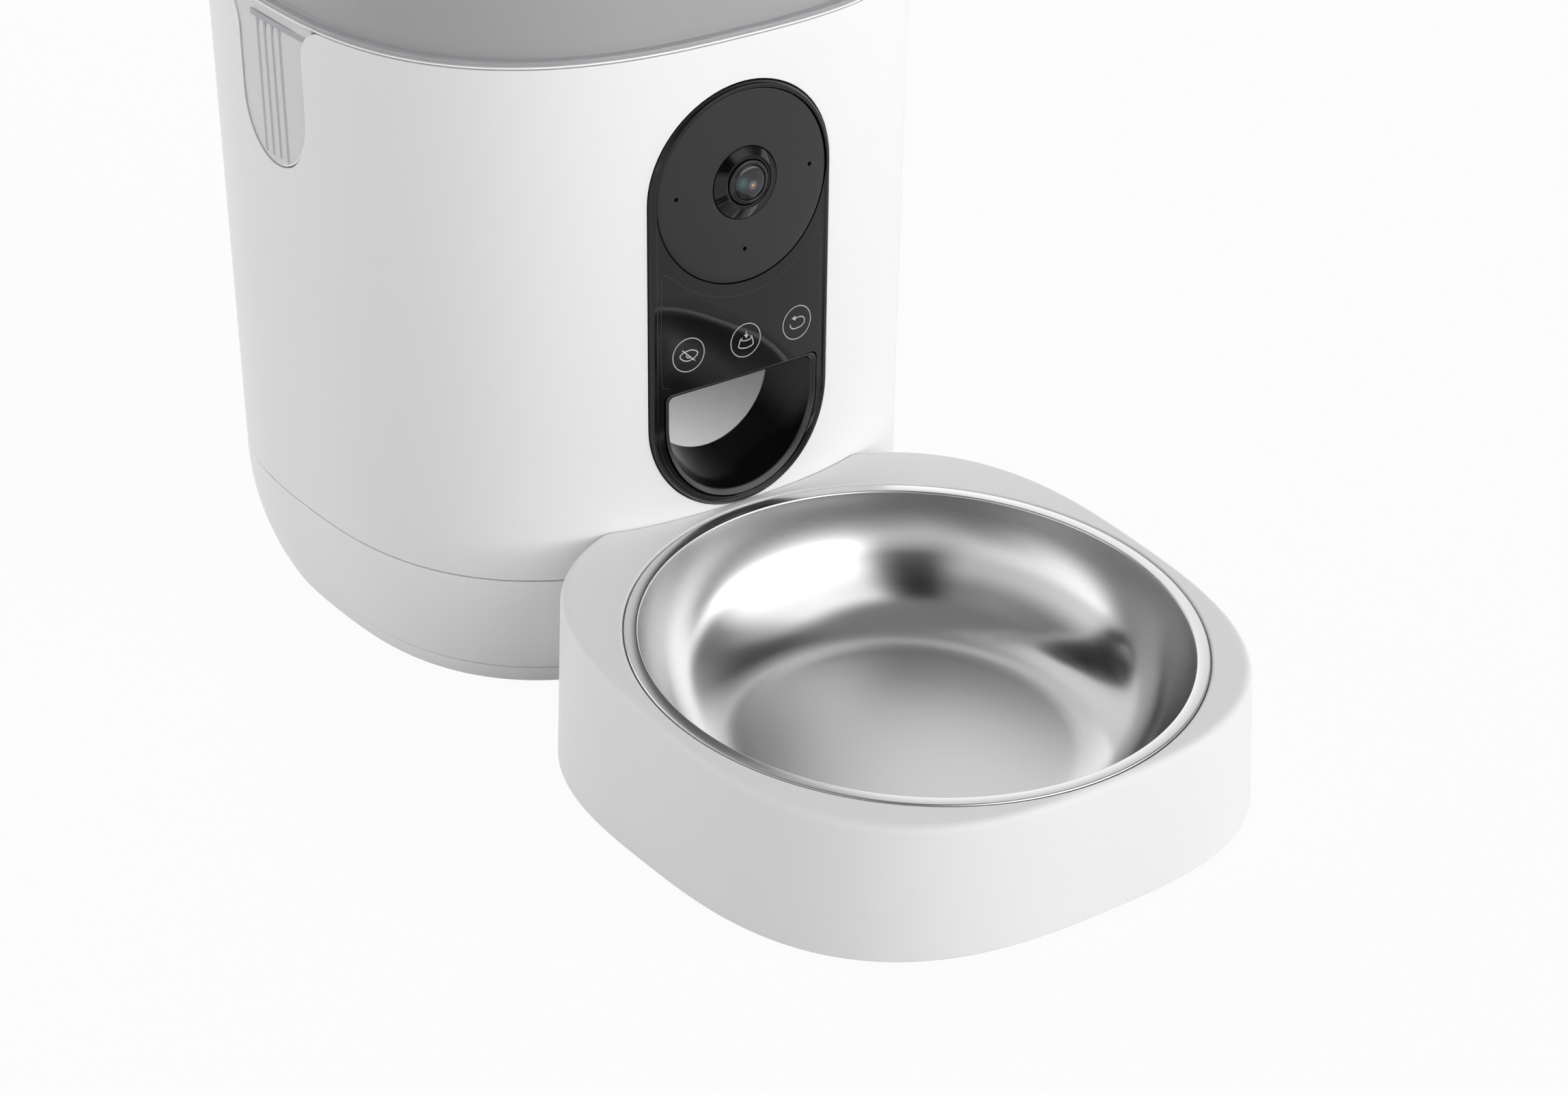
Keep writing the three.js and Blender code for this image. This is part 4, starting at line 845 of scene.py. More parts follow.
def spoke_tree():
    """Blades or rods set round an axis, such as the portion wheel's vanes."""
    tree = Tree(
        "ring_of_blades",
        {
            "Count": 6, "Width": 0.002, "Depth": 0.02, "Radius": 0.0005, "Inner": (0, 0, 0),
            "Outer": (0.04, 0, 0), "Centre": (0, 0, 0),
        },
        silicone,
    )
    blade = soft_bar(tree, *[tree.value(label) for label in ("Width", "Depth", "Radius", "Inner", "Outer")])
    points = tree.node(
        "GeometryNodeMeshLine", {"mode": "OFFSET"}, Count=tree.value("Count"),
        Start_Location=tree.value("Centre"), Offset=(0, 0, 0),
    )
    index = tree.node("GeometryNodeInputIndex")
    share = tree.math("DIVIDE", index.outputs[0], tree.value("Count"))
    turn = tree.math("MULTIPLY", share, 2 * pi)
    copies = tree.node(
        "GeometryNodeInstanceOnPoints", Points=points.outputs[0], Instance=blade,
        Rotation=tree.vector(z=turn),
    )
    return tree.finished(copies)


def screw_tree():
    """Cross-recessed screw heads with shafts on the corners of a rectangle."""
    tree = Tree(
        "base_screws",
        {
            "Head radius": 0.0034, "Head": 0.0012, "Shaft radius": 0.0015, "Length": 0.011,
            "Recess": 0.0038, "Slot": 0.0008, "Across": 2 * SCREW_X * MM, "Along": 2 * SCREW_Y * MM,
            "Centre": (0, 0, 0),
        },
        zinc,
    )
    rods = []
    for radius, length, sides in (("Head radius", "Head", 32), ("Shaft radius", "Length", 24)):
        rod = tree.node(
            "GeometryNodeMeshCylinder", Vertices=sides, Radius=tree.value(radius), Depth=tree.value(length)
        )
        half = tree.math("MULTIPLY", tree.value(length), 0.5)
        rods.append(
            tree.node("GeometryNodeTransform", Geometry=rod.outputs[0], Translation=tree.vector(z=half))
        )
    solid = tree.combined("UNION", rods)
    arms = []
    for across, along in (("Recess", "Slot"), ("Slot", "Recess")):
        size = tree.vector(tree.value(across), tree.value(along), tree.value("Head"))
        arms.append(tree.node("GeometryNodeMeshCube", Size=size))
    cross = tree.combined("DIFFERENCE", arms, Mesh_1=solid.outputs[0])
    grid = tree.node(
        "GeometryNodeMeshGrid", Size_X=tree.value("Across"), Size_Y=tree.value("Along"), Vertices_X=2,
        Vertices_Y=2,
    )
    moved = tree.node("GeometryNodeTransform", Geometry=grid.outputs[0], Translation=tree.value("Centre"))
    copies = tree.node("GeometryNodeInstanceOnPoints", Points=moved.outputs[0], Instance=cross.outputs[0])
    return tree.finished(copies)


ROW = row_tree()
SPOKES = spoke_tree()
SCREWS = screw_tree()


# The tower's white shells


def tower_shell():
    """The upper housing: open above, cut for the panel, the two notches and the speaker's slots."""
    low_z = SEAM + SEAT / 2
    outer_low, outer_top = half_width(low_z), half_width(HOUSING_TOP)
    corners = [
        (outer_low - WALL, low_z, 0.2), (outer_low, low_z, 0.35), (outer_top, HOUSING_TOP, 0.45),
        (outer_top - WALL, HOUSING_TOP, 0.3),
    ]
    shell = turned_soft("upper_shell", corners, 4, tower_section)
    reach = outer_top + 3
    cuts = [
        prism_y("panel_hole", stadium(PANEL_HALF + SEAT), -reach, -reach / 2),
        prism_x("notch_left", notch(0), -reach, -reach / 2),
        prism_x("notch_right", notch(0), reach / 2, reach),
    ]
    for i in range(-2, 3):
        x = i * GRILLE_PITCH
        rise = (GRILLE_RADIUS**2 - x**2) ** 0.5 - GRILLE_HALF
        outline = arc((x, GRILLE_Z + rise), GRILLE_HALF, 0, 180, 12)
        outline += arc((x, GRILLE_Z - rise), GRILLE_HALF, 180, 360, 12)
        cuts.append(prism_y("slot", outline, reach / 2, reach))
    return carved(shell, cuts)


piece("upper_shell", tower_shell(), white, "tower", "body_white", "upper_housing")


def base_shell():
    """The base under the seam, with its inner lip, the inlet's hole and the slot for the tray's tongue."""
    low_z, top_z = FOOT_SEAM + SEAT / 2, SEAM - SEAT / 2
    lip = half_width(SEAM) - WALL - SEAT
    outer = []
    steps = 22
    for i in range(steps + 1):
        z = low_z + (top_z - low_z) * i / steps
        outer.append((base_reach(z), z, 0.3 if i in (0, steps) else 0))
    lip_top = SEAM + BASE_LIP_RISE
    ring = [
        (lip, top_z, 0.2), (lip, lip_top, 0.3), (lip - BASE_LIP, lip_top, 0.3),
        (lip - BASE_LIP, top_z - BASE_LIP, 0.4), (base_reach(31) - WALL, 31, 1),
        (base_reach(19) - WALL, 19, 0), (base_reach(low_z) - WALL, low_z, 0.2),
    ]
    shell = turned_soft("base_shell", outer + ring, 4, tower_section)
    reach = HALF_DEPTH + 3
    inlet = softened(rectangle(-INLET_HALF, INLET_LOW, INLET_HALF, INLET_TOP, INLET_ROUND), 10)
    half = TONGUE_HALF + TRAY_ROOM
    slot = softened(rectangle(-half, TONGUE_LOW - TRAY_ROOM, half, TONGUE_TOP + TRAY_ROOM, 1), 4)
    cuts = [prism_y("inlet_hole", inlet, reach / 2, reach), prism_y("tongue_slot", slot, -reach, -reach / 2)]
    return carved(shell, cuts)


piece("base_shell", base_shell(), white, "tower", "body_white", "base_housing")


def foot_dish():
    """The base plate: a shallow dish with holes for the feet, the screws and the battery door."""
    top = FOOT_SEAM - SEAT / 2
    rim = FOOT_RING_HALF - DISH_ROOM
    corners = [
        (0, UNDERSIDE, 0), (BASE_HALF, UNDERSIDE, 1.2), (FOOT_RING_HALF, top, 0.3), (rim, top, 0.3),
        (rim, FLOOR_TOP, 0.3), (0, FLOOR_TOP, 0),
    ]
    dish = turned_soft("foot_dish", corners, 5, tower_section, closed=False)
    cuts = []
    for x in (-FOOT_X, FOOT_X):
        for y in (-FOOT_Y, FOOT_Y):
            hole = shifted(FOOT_RADIUS + FOOT_ROOM, x, y, 48)
            cuts.append(prism_z("foot_hole", hole, CUT_BELOW, FOOT_RECESS))
    for x in (-SCREW_X, SCREW_X):
        for y in (-SCREW_Y, SCREW_Y):
            head = shifted(SCREW_HEAD_HOLE, x, y, 32)
            cuts.append(prism_z("screw_hole", head, CUT_BELOW, SCREW_HEAD_DEEP))
            cuts.append(prism_z("shaft_hole", shifted(SCREW_HOLE, x, y, 24), CUT_BELOW, CUT_ABOVE))
    for half, below in ((DOOR_HALF, CUT_BELOW), (DOOR_HALF + RAIL_DEEP, FOOT_RECESS)):
        door = softened(rectangle(-half, DOOR_FRONT, half, DOOR_BACK))
        cuts.append(prism_z("door_hole", door, below, CUT_ABOVE))
    return carved(dish, cuts)


piece("foot_dish", foot_dish(), white, "tower", "body_white", "base_plate")


def four(x, front, rear):
    """Names and places of four like pieces, the same at the left and the right."""
    ends, hands = (("front", front), ("rear", rear)), (("left", -x), ("right", x))
    return [(end + "_" + hand, side, y) for end, y in ends for hand, side in hands]


def pad(radius, x, y):
    """A rubber foot with a softened edge and a shallow dimple."""
    dimple, thick = 0.25, 2
    corners = [
        (0, dimple, 0), (radius * 0.55, dimple, 0.3), (radius * 0.62, 0, 0.3), (radius, 0, 0.5),
        (radius, thick, 0.2), (0, thick, 0),
    ]

    def under(point):
        return (point[0] + x, point[1] + y, point[2])

    return turned_soft("pad", corners, 4, closed=False, steps=48, place=under)


for name, x, y in four(FOOT_X, -FOOT_Y, FOOT_Y):
    piece("pad_" + name, pad(FOOT_RADIUS, x, y), rubber, "tower", "foot_rubber", "foot_" + name)

screws = SCREWS.grown("base_screws", Centre=placed((0, 0, UNDERSIDE + 0.15)))
piece("base_screws", screws, zinc, "tower", "hardware_steel", *[f"base_screw_{i}" for i in (1, 2, 3, 4)])


# The front panel and the camera


def front_cut(name, outline):
    """A cutter for the tower's front, from well outside it to well inside."""
    reach = face_front(0, HOUSING_TOP, 3)
    return prism_y(name, outline, -reach, -reach / 2)


def panel():
    """The glossy plate with its raised lip, cut out for the camera's disc and the outlet."""
    face, lip, back = PROUD, PROUD + 0.4, -PANEL_DEPTH
    edge = PANEL_HALF - 0.8
    levels = [(0.4, back), (14, back), (PANEL_HALF - 0.2, back), (PANEL_HALF, back + 0.2)]
    corners = [
        (PANEL_HALF, 0, 0), (edge, lip, 0.42), (edge - 0.95, lip, 0.3), (edge - 1.25, face, 0.3),
        (edge - 2.2, face, 0),
    ]
    levels += softened(corners, closed=False)
    levels += [(half, face) for half in (22, 18, 14, 10, 6, 3, 1, 0.4)]
    plate = front_plate("panel", levels, stadium, sharp=radians(50))
    cuts = [front_cut("disc_hole", circle(DISC_RADIUS + SEAT)), front_cut("outlet_hole", outlet(0))]
    return carved(plate, cuts)


piece("panel", panel(), gloss_black, "tower", "panel_black", "front_panel")


def camera_plate():
    """The camera's disc: its rings move up towards the lens, which sits above the disc's middle."""
    back = PROUD - DISC_THICK
    levels = [(LENS_HOLE, back), (18, back), (DISC_RADIUS - 0.1, back)]
    corners = [(DISC_RADIUS, PROUD - 1.4, 0), (DISC_RADIUS, PROUD, 0.3), (DISC_RADIUS - 2, PROUD, 0)]
    levels += softened(corners, 5, closed=False)
    levels += [(radius, PROUD) for radius in (21, 17, 13, DISC_FLAT)]
    levels += [(LENS_HOLE + 0.12, PROUD - 0.03), (LENS_HOLE, PROUD - 0.2)]

    def ring(radius):
        share = min(1.0, (DISC_RADIUS - radius) / (DISC_RADIUS - DISC_FLAT))
        return circle(radius, CAMERA_Z + LENS_RISE * share)

    plate = front_plate("camera_plate", levels, ring, closed=True)
    holes = ((-PINHOLE_REACH, 0), (PINHOLE_REACH, 0), (0, -LOW_PINHOLE_REACH))
    return carved(plate, [front_cut("pinhole", circle(PINHOLE, LENS_Z + z, x, 24)) for x, z in holes])


piece("camera_plate", camera_plate(), disc_grey, "tower", "disc_grey", "camera_disc")


def turned_back(name, profile):
    """A profile of (reach, depth) turned about the camera's axis."""
    return turned(name, profile, steps=ROUND_STEPS, place=about_camera)


def cone():
    """The glossy cone round the lens, with one fine ring on its top."""
    corners = [
        (9.72, 0, 0.1), (9.72, 6, 0.2), (6.3, 6, 0.2), (6.3, -1.45, 0.1), (6.75, -1.5, 0.1),
        (6.9, -CONE_RISE, 0.08), (7.1, -CONE_RISE, 0.12), (7.25, -1.62, 0.1),
    ]
    return turned_back("cone", softened(corners, 4))


piece("cone", cone(), gloss_black, "tower", "panel_black", "lens_cone")


def barrel():
    """The lens barrel with its stepped front edge."""
    corners = [
        (0, 0.2, 0), (4.75, 0.2, 0.1), (4.75, -2.2, 0.1), (4.95, -2.4, 0.1), (5.15, -2.4, 0.12),
        (5.3, -2.05, 0.1), (5.75, -1.95, 0.2), (6.05, -1.5, 0.2), (6.05, 9, 0.2), (0, 9, 0),
    ]
    return turned_back("barrel", softened(corners, 4, closed=False))


piece("barrel", barrel(), barrel_black, "tower", "disc_grey", "lens_barrel")


def dome():
    """The front glass: a low dome of one solid piece."""
    steps = 14
    edge, height, radius = -1.95, 0.95, 4.7
    turns = [pi / 2 * i / steps for i in range(steps)]
    front = [(radius * cos(a), edge - height * sin(a)) for a in turns]
    back = [(0, -0.4), (radius - 0.1, -0.4), (radius, -0.5)]
    return turned_back("dome", [*back, *front, (0, edge - height)])


def rings_of_colour(tree, centre, stops):
    """A colour by distance in millimetres from a point on the camera's face."""
    spot, longest = placed((centre[0], 0, centre[1])), 10
    place = tree.nodes.new("ShaderNodeTexCoord").outputs["Object"]
    shift = added(tree, "ShaderNodeMapping", Vector=place, Location=(-spot[0], 0, -spot[2]))
    flat = added(
        tree, "ShaderNodeVectorMath", {"operation": "MULTIPLY"}, _0=shift.outputs[0],
        _1=(1 / MM, 0, 1 / MM),
    )
    reach = added(tree, "ShaderNodeVectorMath", {"operation": "LENGTH"}, _0=flat.outputs[0])
    share = result_of(tree, "DIVIDE", reach.outputs["Value"], longest)
    return ramp_of(tree, share, [(distance / longest, colour) for distance, colour in stops])


def coated_glass():
    """Dark glass with painted light: a painted warm highlight in the middle, a thin painted glint ring and a
    painted blue-green reflection at the left.
    """
    material, principled = shader("lens_painted_glints", Roughness=0.06, IOR=1.5)
    tree = material.node_tree
    middle_x, middle_z = 0.45, LENS_Z + BARREL_UP - 0.6
    # Dark glass with a painted warm highlight in its middle and a thin painted glint ring near its edge.
    dark = rings_of_colour(tree, (middle_x, middle_z), [
        (0.0, tone(255, 232, 188)), (0.16, tone(226, 184, 130)), (0.36, tone(104, 86, 72)),
        (0.55, tone(118, 102, 96)), (0.95, tone(92, 82, 84)), (1.3, tone(52, 50, 56)),
        (1.9, tone(27, 29, 32)), (3.2, tone(21, 23, 26)), (3.3, tone(40, 44, 48)), (3.5, tone(20, 22, 24)),
        (4.6, tone(12, 13, 14)),
    ])
    # A painted blue-green reflection at the left of the glass.
    painted_teal_reflection = rings_of_colour(tree, (middle_x - 3.1, middle_z + 1.2), [
        (0.0, tone(60, 80, 83)), (0.8, tone(50, 70, 73)), (1.8, tone(22, 33, 35)), (3.0, tone(0, 0, 0)),
    ])
    both = added(
        tree, "ShaderNodeMix", {"data_type": "RGBA", "blend_type": "ADD"}, Factor=1, A=dark, B=painted_teal_reflection
    )
    wire(tree, both.outputs["Result"], principled.inputs["Base Color"])
    return material


piece("dome", dome(), coated_glass(), "tower", "lens_glass", "lens_glass")


def stroke(points, width, closed=False, out=PROUD, thick=PRINT_THICK, surface=on_face):
    """A line of one width along points on a face, as a thin closed strip."""
    count = len(points)
    left, right = [], []
    for i, (x, z) in enumerate(points):
        before = points[i - 1] if closed or i else points[0]
        after = points[(i + 1) % count] if closed or i < count - 1 else points[-1]
        along = Vector((after[0] - before[0], after[1] - before[1])).normalized()
        left.append((x - along.y * width / 2, z + along.x * width / 2))
        right.append((x + along.y * width / 2, z - along.x * width / 2))
    rings = [
        surface(left, out - thick), surface(left, out + thick), surface(right, out + thick),
        surface(right, out - thick),
    ]
    points = [p for ring in rings for p in ring]
    faces = []
    spans = count if closed else count - 1
    for j in range(4):
        a, b = j * count, ((j + 1) % 4) * count
        for k in range(spans):
            n = (k + 1) % count
            faces.append((a + k, a + n, b + n, b + k))
    if not closed:
        faces.append((0, count, 2 * count, 3 * count))
        faces.append((count - 1, 2 * count - 1, 3 * count - 1, 4 * count - 1))
    return mesh_of("stroke", points, faces)


KEY_RINGS = [(-17.27, 96.53), (0.46, 96.17), (17.29, 96.62)]
EYE_MARK = {
    "upper": [
        (-2.64, 0.01), (-2.25, 0.55), (-1.48, 0.96), (-0.86, 1.11), (0, 1.24), (0.79, 1.3), (2.05, 0.84),
        (2.8, 0.12),
    ],
    "lower": [
        (-2.64, 0.01), (-2.26, -0.72), (-1.37, -1.39), (-0.28, -1.73), (0.98, -1.52), (1.65, -1.23),
        (2.52, -0.55), (2.8, 0.12),
    ],
    "slash": [(-1.94, 1.67), (1.89, -2.04)],
    "pupil": [(-0.7, 0.02), (-0.55, -0.54), (-0.08, -0.84), (0.39, -0.77)],
}
BOWL_MARK = {
    "shaft": [(0.15, 2.52), (0.17, 1.5)],
    "rim": [(-1.67, 0.6), (-1.17, 0.09), (0.17, -0.2), (1.42, -0.01), (1.96, 0.37)],
    "left": [(-1.01, 0.8), (-1.67, 0.6), (-2.33, -1.48)],
    "bottom": [(-2.33, -1.48), (-1.41, -2.03), (0.18, -2.31), (1.65, -2.11), (2.53, -1.59)],
    "right": [(2.53, -1.59), (1.96, 0.6), (1.33, 0.92)],
}
TURN_MARK = {
    "loop": [
        (-0.7, 1.36), (0.2, 1.42), (1.05, 1.43), (1.96, 1.17), (2.61, 0.37), (2.54, -0.67), (1.46, -1.46),
        (0.3, -1.6), (-0.69, -1.66), (-1.67, -1.37), (-2.21, -0.72), (-2.31, -0.01),
    ],
}
HEADS = [(1, [(-0.6, 1.67), (0.95, 1.55), (0.21, 0.47)]), (2, [(-1.89, 1.53), (-0.56, 2.1), (-0.41, 0.66)])]


def filled(points):
    """A small printed patch on the panel's face."""
    middle = (sum(p[0] for p in points) / len(points), sum(p[1] for p in points) / len(points))
    inner = [(middle[0] + (x - middle[0]) * 0.5, middle[1] + (z - middle[1]) * 0.5) for x, z in points]
    levels = ((inner, -PRINT_THICK), (points, -PRINT_THICK), (points, PRINT_THICK), (inner, PRINT_THICK))
    return rings_mesh("filled", [on_face(ring, PROUD + lift) for ring, lift in levels])


def key_marks():
    """Three ringed touch marks: a crossed-out eye, food falling into a bowl and a turning-back arrow."""
    rings = [circle(KEY_RADIUS, z, x, MARK_STEPS) for x, z in KEY_RINGS]
    marks = [stroke(ring, KEY_RING_LINE, closed=True) for ring in rings]
    for (centre_x, centre_z), lines in zip(KEY_RINGS, (EYE_MARK, BOWL_MARK, TURN_MARK)):
        for points in lines.values():
            marks.append(stroke([(centre_x + x, centre_z + z) for x, z in points], KEY_LINE))
    for key, points in HEADS:
        centre_x, centre_z = KEY_RINGS[key]
        marks.append(filled([(centre_x + x, centre_z + z) for x, z in points]))
    return joined("key_marks", marks)


piece("key_marks", key_marks(), print_grey, "tower", "chute_grey")


def touch_window():
    """The faint edge of the window over the touch keys: its top follows the camera disc."""
    radius, side, low_z = 30.0, 25.2, 88.2
    small, large = 1.2, 2
    reach = side - 2 * small
    half = degrees(atan2(reach, (radius**2 - reach**2) ** 0.5))
    top = arc((0, CAMERA_Z), radius, 270 - half, 270 + half, 30)
    corner_z, low_corner_z = top[0][1] - 0.8, low_z + large
    outline = [(-side, low_corner_z), (-side, corner_z - small / 2)]
    outline += arc((small - side, corner_z), small, 180, 80, 6) + top[1:-1]
    outline += arc((side - small, corner_z), small, 100, 0, 6) + [(side, low_corner_z)]
    outline += arc((side - large, low_corner_z), large, 0, -90, 6)
    outline += arc((large - side, low_corner_z), large, 270, 180, 6)
    return stroke(outline, WINDOW_LINE, closed=True, thick=0.02)


piece("touch_window", touch_window(), print_dark, "tower", "panel_black")


# The outlet and the slide


def tunnel_point(x, z, share):
    """A point of the outlet's outline, carried back into the narrowing and rising tunnel."""
    front = face_front(x, z, PROUD + TUNNEL_PROUD)
    centre_front = face_front(0, OUTLET_Z, PROUD)
    y = -front + (front - TUNNEL_BACK) * share
    along = max(0.0, (y + centre_front) / (centre_front - TUNNEL_BACK))
    size = 1 - (1 - TUNNEL_TAPER) * along
    return (x * size, y, OUTLET_Z + (z - OUTLET_Z) * size + TUNNEL_RISE * along)


def outlet_ring(name, corners):
    """A ring round the outlet, its section given by corners of inset, depth and radius."""
    rings = []
    for inset, depth in softened(corners, 5):
        rings.append([tunnel_point(x, z, depth / TUNNEL_LENGTH) for x, z in outlet(inset)])
    return rings_mesh(name, rings, closed=True)


def tunnel():
    inner = SEAT + TUNNEL_WALL
    return outlet_ring("tunnel", [
        (SEAT, RIM_DEPTH, 0), (inner, RIM_DEPTH, 0), (inner, TUNNEL_LENGTH, 0.2), (SEAT, TUNNEL_LENGTH, 0.2),
    ])


def outlet_rim():
    """The tunnel's front edge, bevelled towards the opening; its lighter grey is a painted sheen on the
    black bevel.
    """
    inner, flat, bevel = SEAT + TUNNEL_WALL, SEAT + 0.25, 0.85
    return outlet_ring("outlet_rim", [
        (SEAT, 0, 0.1), (flat, 0, 0.1), (inner, bevel, 0.3), (inner, RIM_DEPTH, 0), (SEAT, RIM_DEPTH, 0),
    ])


piece("outlet_rim", outlet_rim(), rim_sheen_grey, "tower", "panel_black")
piece("tunnel", tunnel(), tunnel_black, "tower", "panel_black", "outlet_tunnel")


def slide():
    """The light grey channel behind the tunnel, climbing to the portion wheel."""
    front, centre = SEAT - TUNNEL_BACK, OUTLET_Z + TUNNEL_RISE
    radius = (OUTLET_RADIUS - SEAT - TUNNEL_WALL) * TUNNEL_TAPER
    outer = radius + SLIDE_WALL
    under = range(180, 361, 4)
    rings = []
    steps = 24

    def spot(reach, turn, y):
        angle, z = radians(turn), centre + SLIDE_SLOPE * (y - front)
        return (reach * cos(angle), y, min(SLIDE_TOP, z + reach * sin(angle)))

    for i in range(steps + 1):
        y = front + (SLIDE_BACK - front) * i / steps
        ring = [spot(outer, turn, y) for turn in under] + [(outer, y, SLIDE_TOP), (radius, y, SLIDE_TOP)]
        ring += [spot(radius, turn, y) for turn in reversed(under)]
        rings.append(ring + [(-radius, y, SLIDE_TOP), (-outer, y, SLIDE_TOP)])
    return rings_mesh("slide", rings)


piece("slide", slide(), chute_grey, "tower", "chute_grey", "chute")


# The tank, its tabs and the lid


def tank():
    """The clear tank: round neck, widening collar, flange on the housing's edge and tall wall."""
    inner, outer, neck_low = 44.6, 47.0, 128.4
    floor_thick, longest = 1.2, 8
    flange_low = HOUSING_TOP + SEAT
    flange_top = flange_low + FLANGE_THICK
    collar = half_width(COLLAR_LOW) - WALL - 1
    flange = half_width(HOUSING_TOP)
    wall_low = flange - 2.6
    wall_top = wall_low + DRAFT * (TANK_TOP - flange_top)
    profile = softened(
        [
            (inner, neck_low, 0.3), (outer, neck_low, 0.3), (outer, NECK_TOP, 2), (collar, COLLAR_LOW, 3),
            (collar, flange_low, 0.3), (flange, flange_low, 0.35), (flange, flange_top, 0.5),
            (wall_low, flange_top, 0.5), (wall_top, TANK_TOP, 0.8), (wall_top - TANK_WALL, TANK_TOP, 0.8),
            (wall_low - TANK_WALL, flange_top, 2), (collar - TANK_WALL, flange_low - FLANGE_THICK, 2),
            (collar - TANK_WALL, COLLAR_LOW + floor_thick, 3), (inner, NECK_TOP + floor_thick, 2),
        ],
        5,
    )
    fine = []
    for i, (reach, z) in enumerate(profile):
        next_reach, next_z = profile[(i + 1) % len(profile)]
        climb = abs(next_z - z)
        spans = ceil(climb / longest) if min(z, next_z) < COLLAR_LOW and climb > longest else 1
        for k in range(spans):
            t = k / spans
            fine.append((reach + (next_reach - reach) * t, z + (next_z - z) * t))
    return turned("tank", fine, tank_section)


piece("tank", tank(), tank_clear, "hopper", "tank_clear", "hopper")


def flange_edge():
    """A thin white strip along the flange's lower edge: a painted highlight."""
    deep, proud, tall = 0.6, 0.04, 0.6
    low_z = HOUSING_TOP + SEAT + 0.02
    outside = half_width(HOUSING_TOP) + proud
    inside, top = outside - proud - deep, low_z + tall
    corners = [(inside, low_z, 0.1), (outside, low_z, 0.2), (outside, top, 0.2), (inside, top, 0.1)]
    return turned_soft("flange_edge", corners, 4, tower_section)


piece("flange_edge", flange_edge(), painted_highlight_plastic, "hopper", "tank_clear")


def tab(side):
    """A clear tab that fills the side notch, with a rounded edge and ribs on its inner face."""
    centre_y, centre_z = NOTCH_Y, 171.0
    inner_edge, outer_edge = 0.4, 0.7

    def outline(inset, share):
        points = notch(TAB_GAP + inset, 115.0, HOUSING_TOP - inset)
        return [(centre_y + (y - centre_y) * share, centre_z + (z - centre_z) * share) for y, z in points]

    rings = []
    for share in (0.08, 0.3, 0.55, 0.8):
        rings.append([(y, z, TAB_IN) for y, z in outline(inner_edge, share)])
    edge = softened(
        [(inner_edge, TAB_IN, 0), (0, TAB_IN, 0.35), (0, TAB_OUT, 0.5), (outer_edge, TAB_OUT, 0)], 5,
        closed=False,
    )
    for inset, out in edge:
        rings.append([(y, z, out) for y, z in outline(inset, 1)])
    for share in (0.9, 0.75, 0.55, 0.3, 0.08):
        rings.append([(y, z, TAB_OUT) for y, z in outline(outer_edge, share)])
    skins = [[(side * face_side(y, z, out), y, z) for y, z, out in ring] for ring in rings]
    sheet = rings_mesh("tab", skins)
    first = NOTCH_Y - (RIB_COUNT - 1) / 2 * RIB_PITCH
    ribs = ROW.grown(
        "tab_ribs", Count=RIB_COUNT, Pitch=RIB_PITCH * MM, Width=1.2 * MM, Depth=2.6 * MM,
        Radius=0.45 * MM, Start=placed((side * 83.1, first, 143)), End=placed((side * 83.4, first, 169)),
    )
    return joined("tab", [sheet, ribs])


def side_stroke(side, points, width, out=TAB_OUT, thick=TAB_LINE_THICK):
    """A line along points of Y and Z on the tower's left or right face."""
    def on_side(spots, level):
        return [(side * face_side(y, z, level), y, z) for y, z in spots]

    return stroke(points, width, out=out, thick=thick, surface=on_side)


def tab_lines(side):
    """Four darker strips on the tab's outer face: painted shade where the ribs inside show through the clear
    plastic.
    """
    low_z, tall, steps = 138.6, 36.6, 12
    marks = []
    for k in range(RIB_COUNT):
        y = NOTCH_Y + 0.1 + (k - (RIB_COUNT - 1) / 2) * RIB_PITCH
        marks.append(side_stroke(side, [(y, low_z + tall * i / steps) for i in range(steps + 1)], 1.25))
    return joined("tab_lines", marks)


def tab_band(side):
    """A darker strip across the tab under the tank's flange: the flange's painted shadow, seen through the
    clear plastic.
    """
    front, length, steps = NOTCH_Y - 19.5, 29, 16
    return side_stroke(side, [(front + length * i / steps, 176.1) for i in range(steps + 1)], 1.7)


def tab_edge(side):
    """A thin white strip along the tab's polished rim: a painted highlight where the rim catches the light.
    """
    low_and_right = 37 + 14
    points = notch(0.62, 90.0, HOUSING_TOP - 2)[:low_and_right]
    return side_stroke(side, points, 0.34, out=-0.42, thick=0.05)


piece("tab_left", tab(-1), tab_clear, "tab_left", "tank_clear", "press_tab_left")
piece("tab_right", tab(1), tab_clear, "tab_right", "tank_clear", "press_tab_right")
for side, hand in ((-1, "left"), (1, "right")):
    piece("tab_lines_" + hand, tab_lines(side), rib_shade_plastic, "tab_" + hand, "tank_clear")
    piece("tab_band_" + hand, tab_band(side), flange_shadow_plastic, "tab_" + hand, "tank_clear")
    piece("tab_edge_" + hand, tab_edge(side), painted_highlight_plastic, "tab_" + hand, "tank_clear")


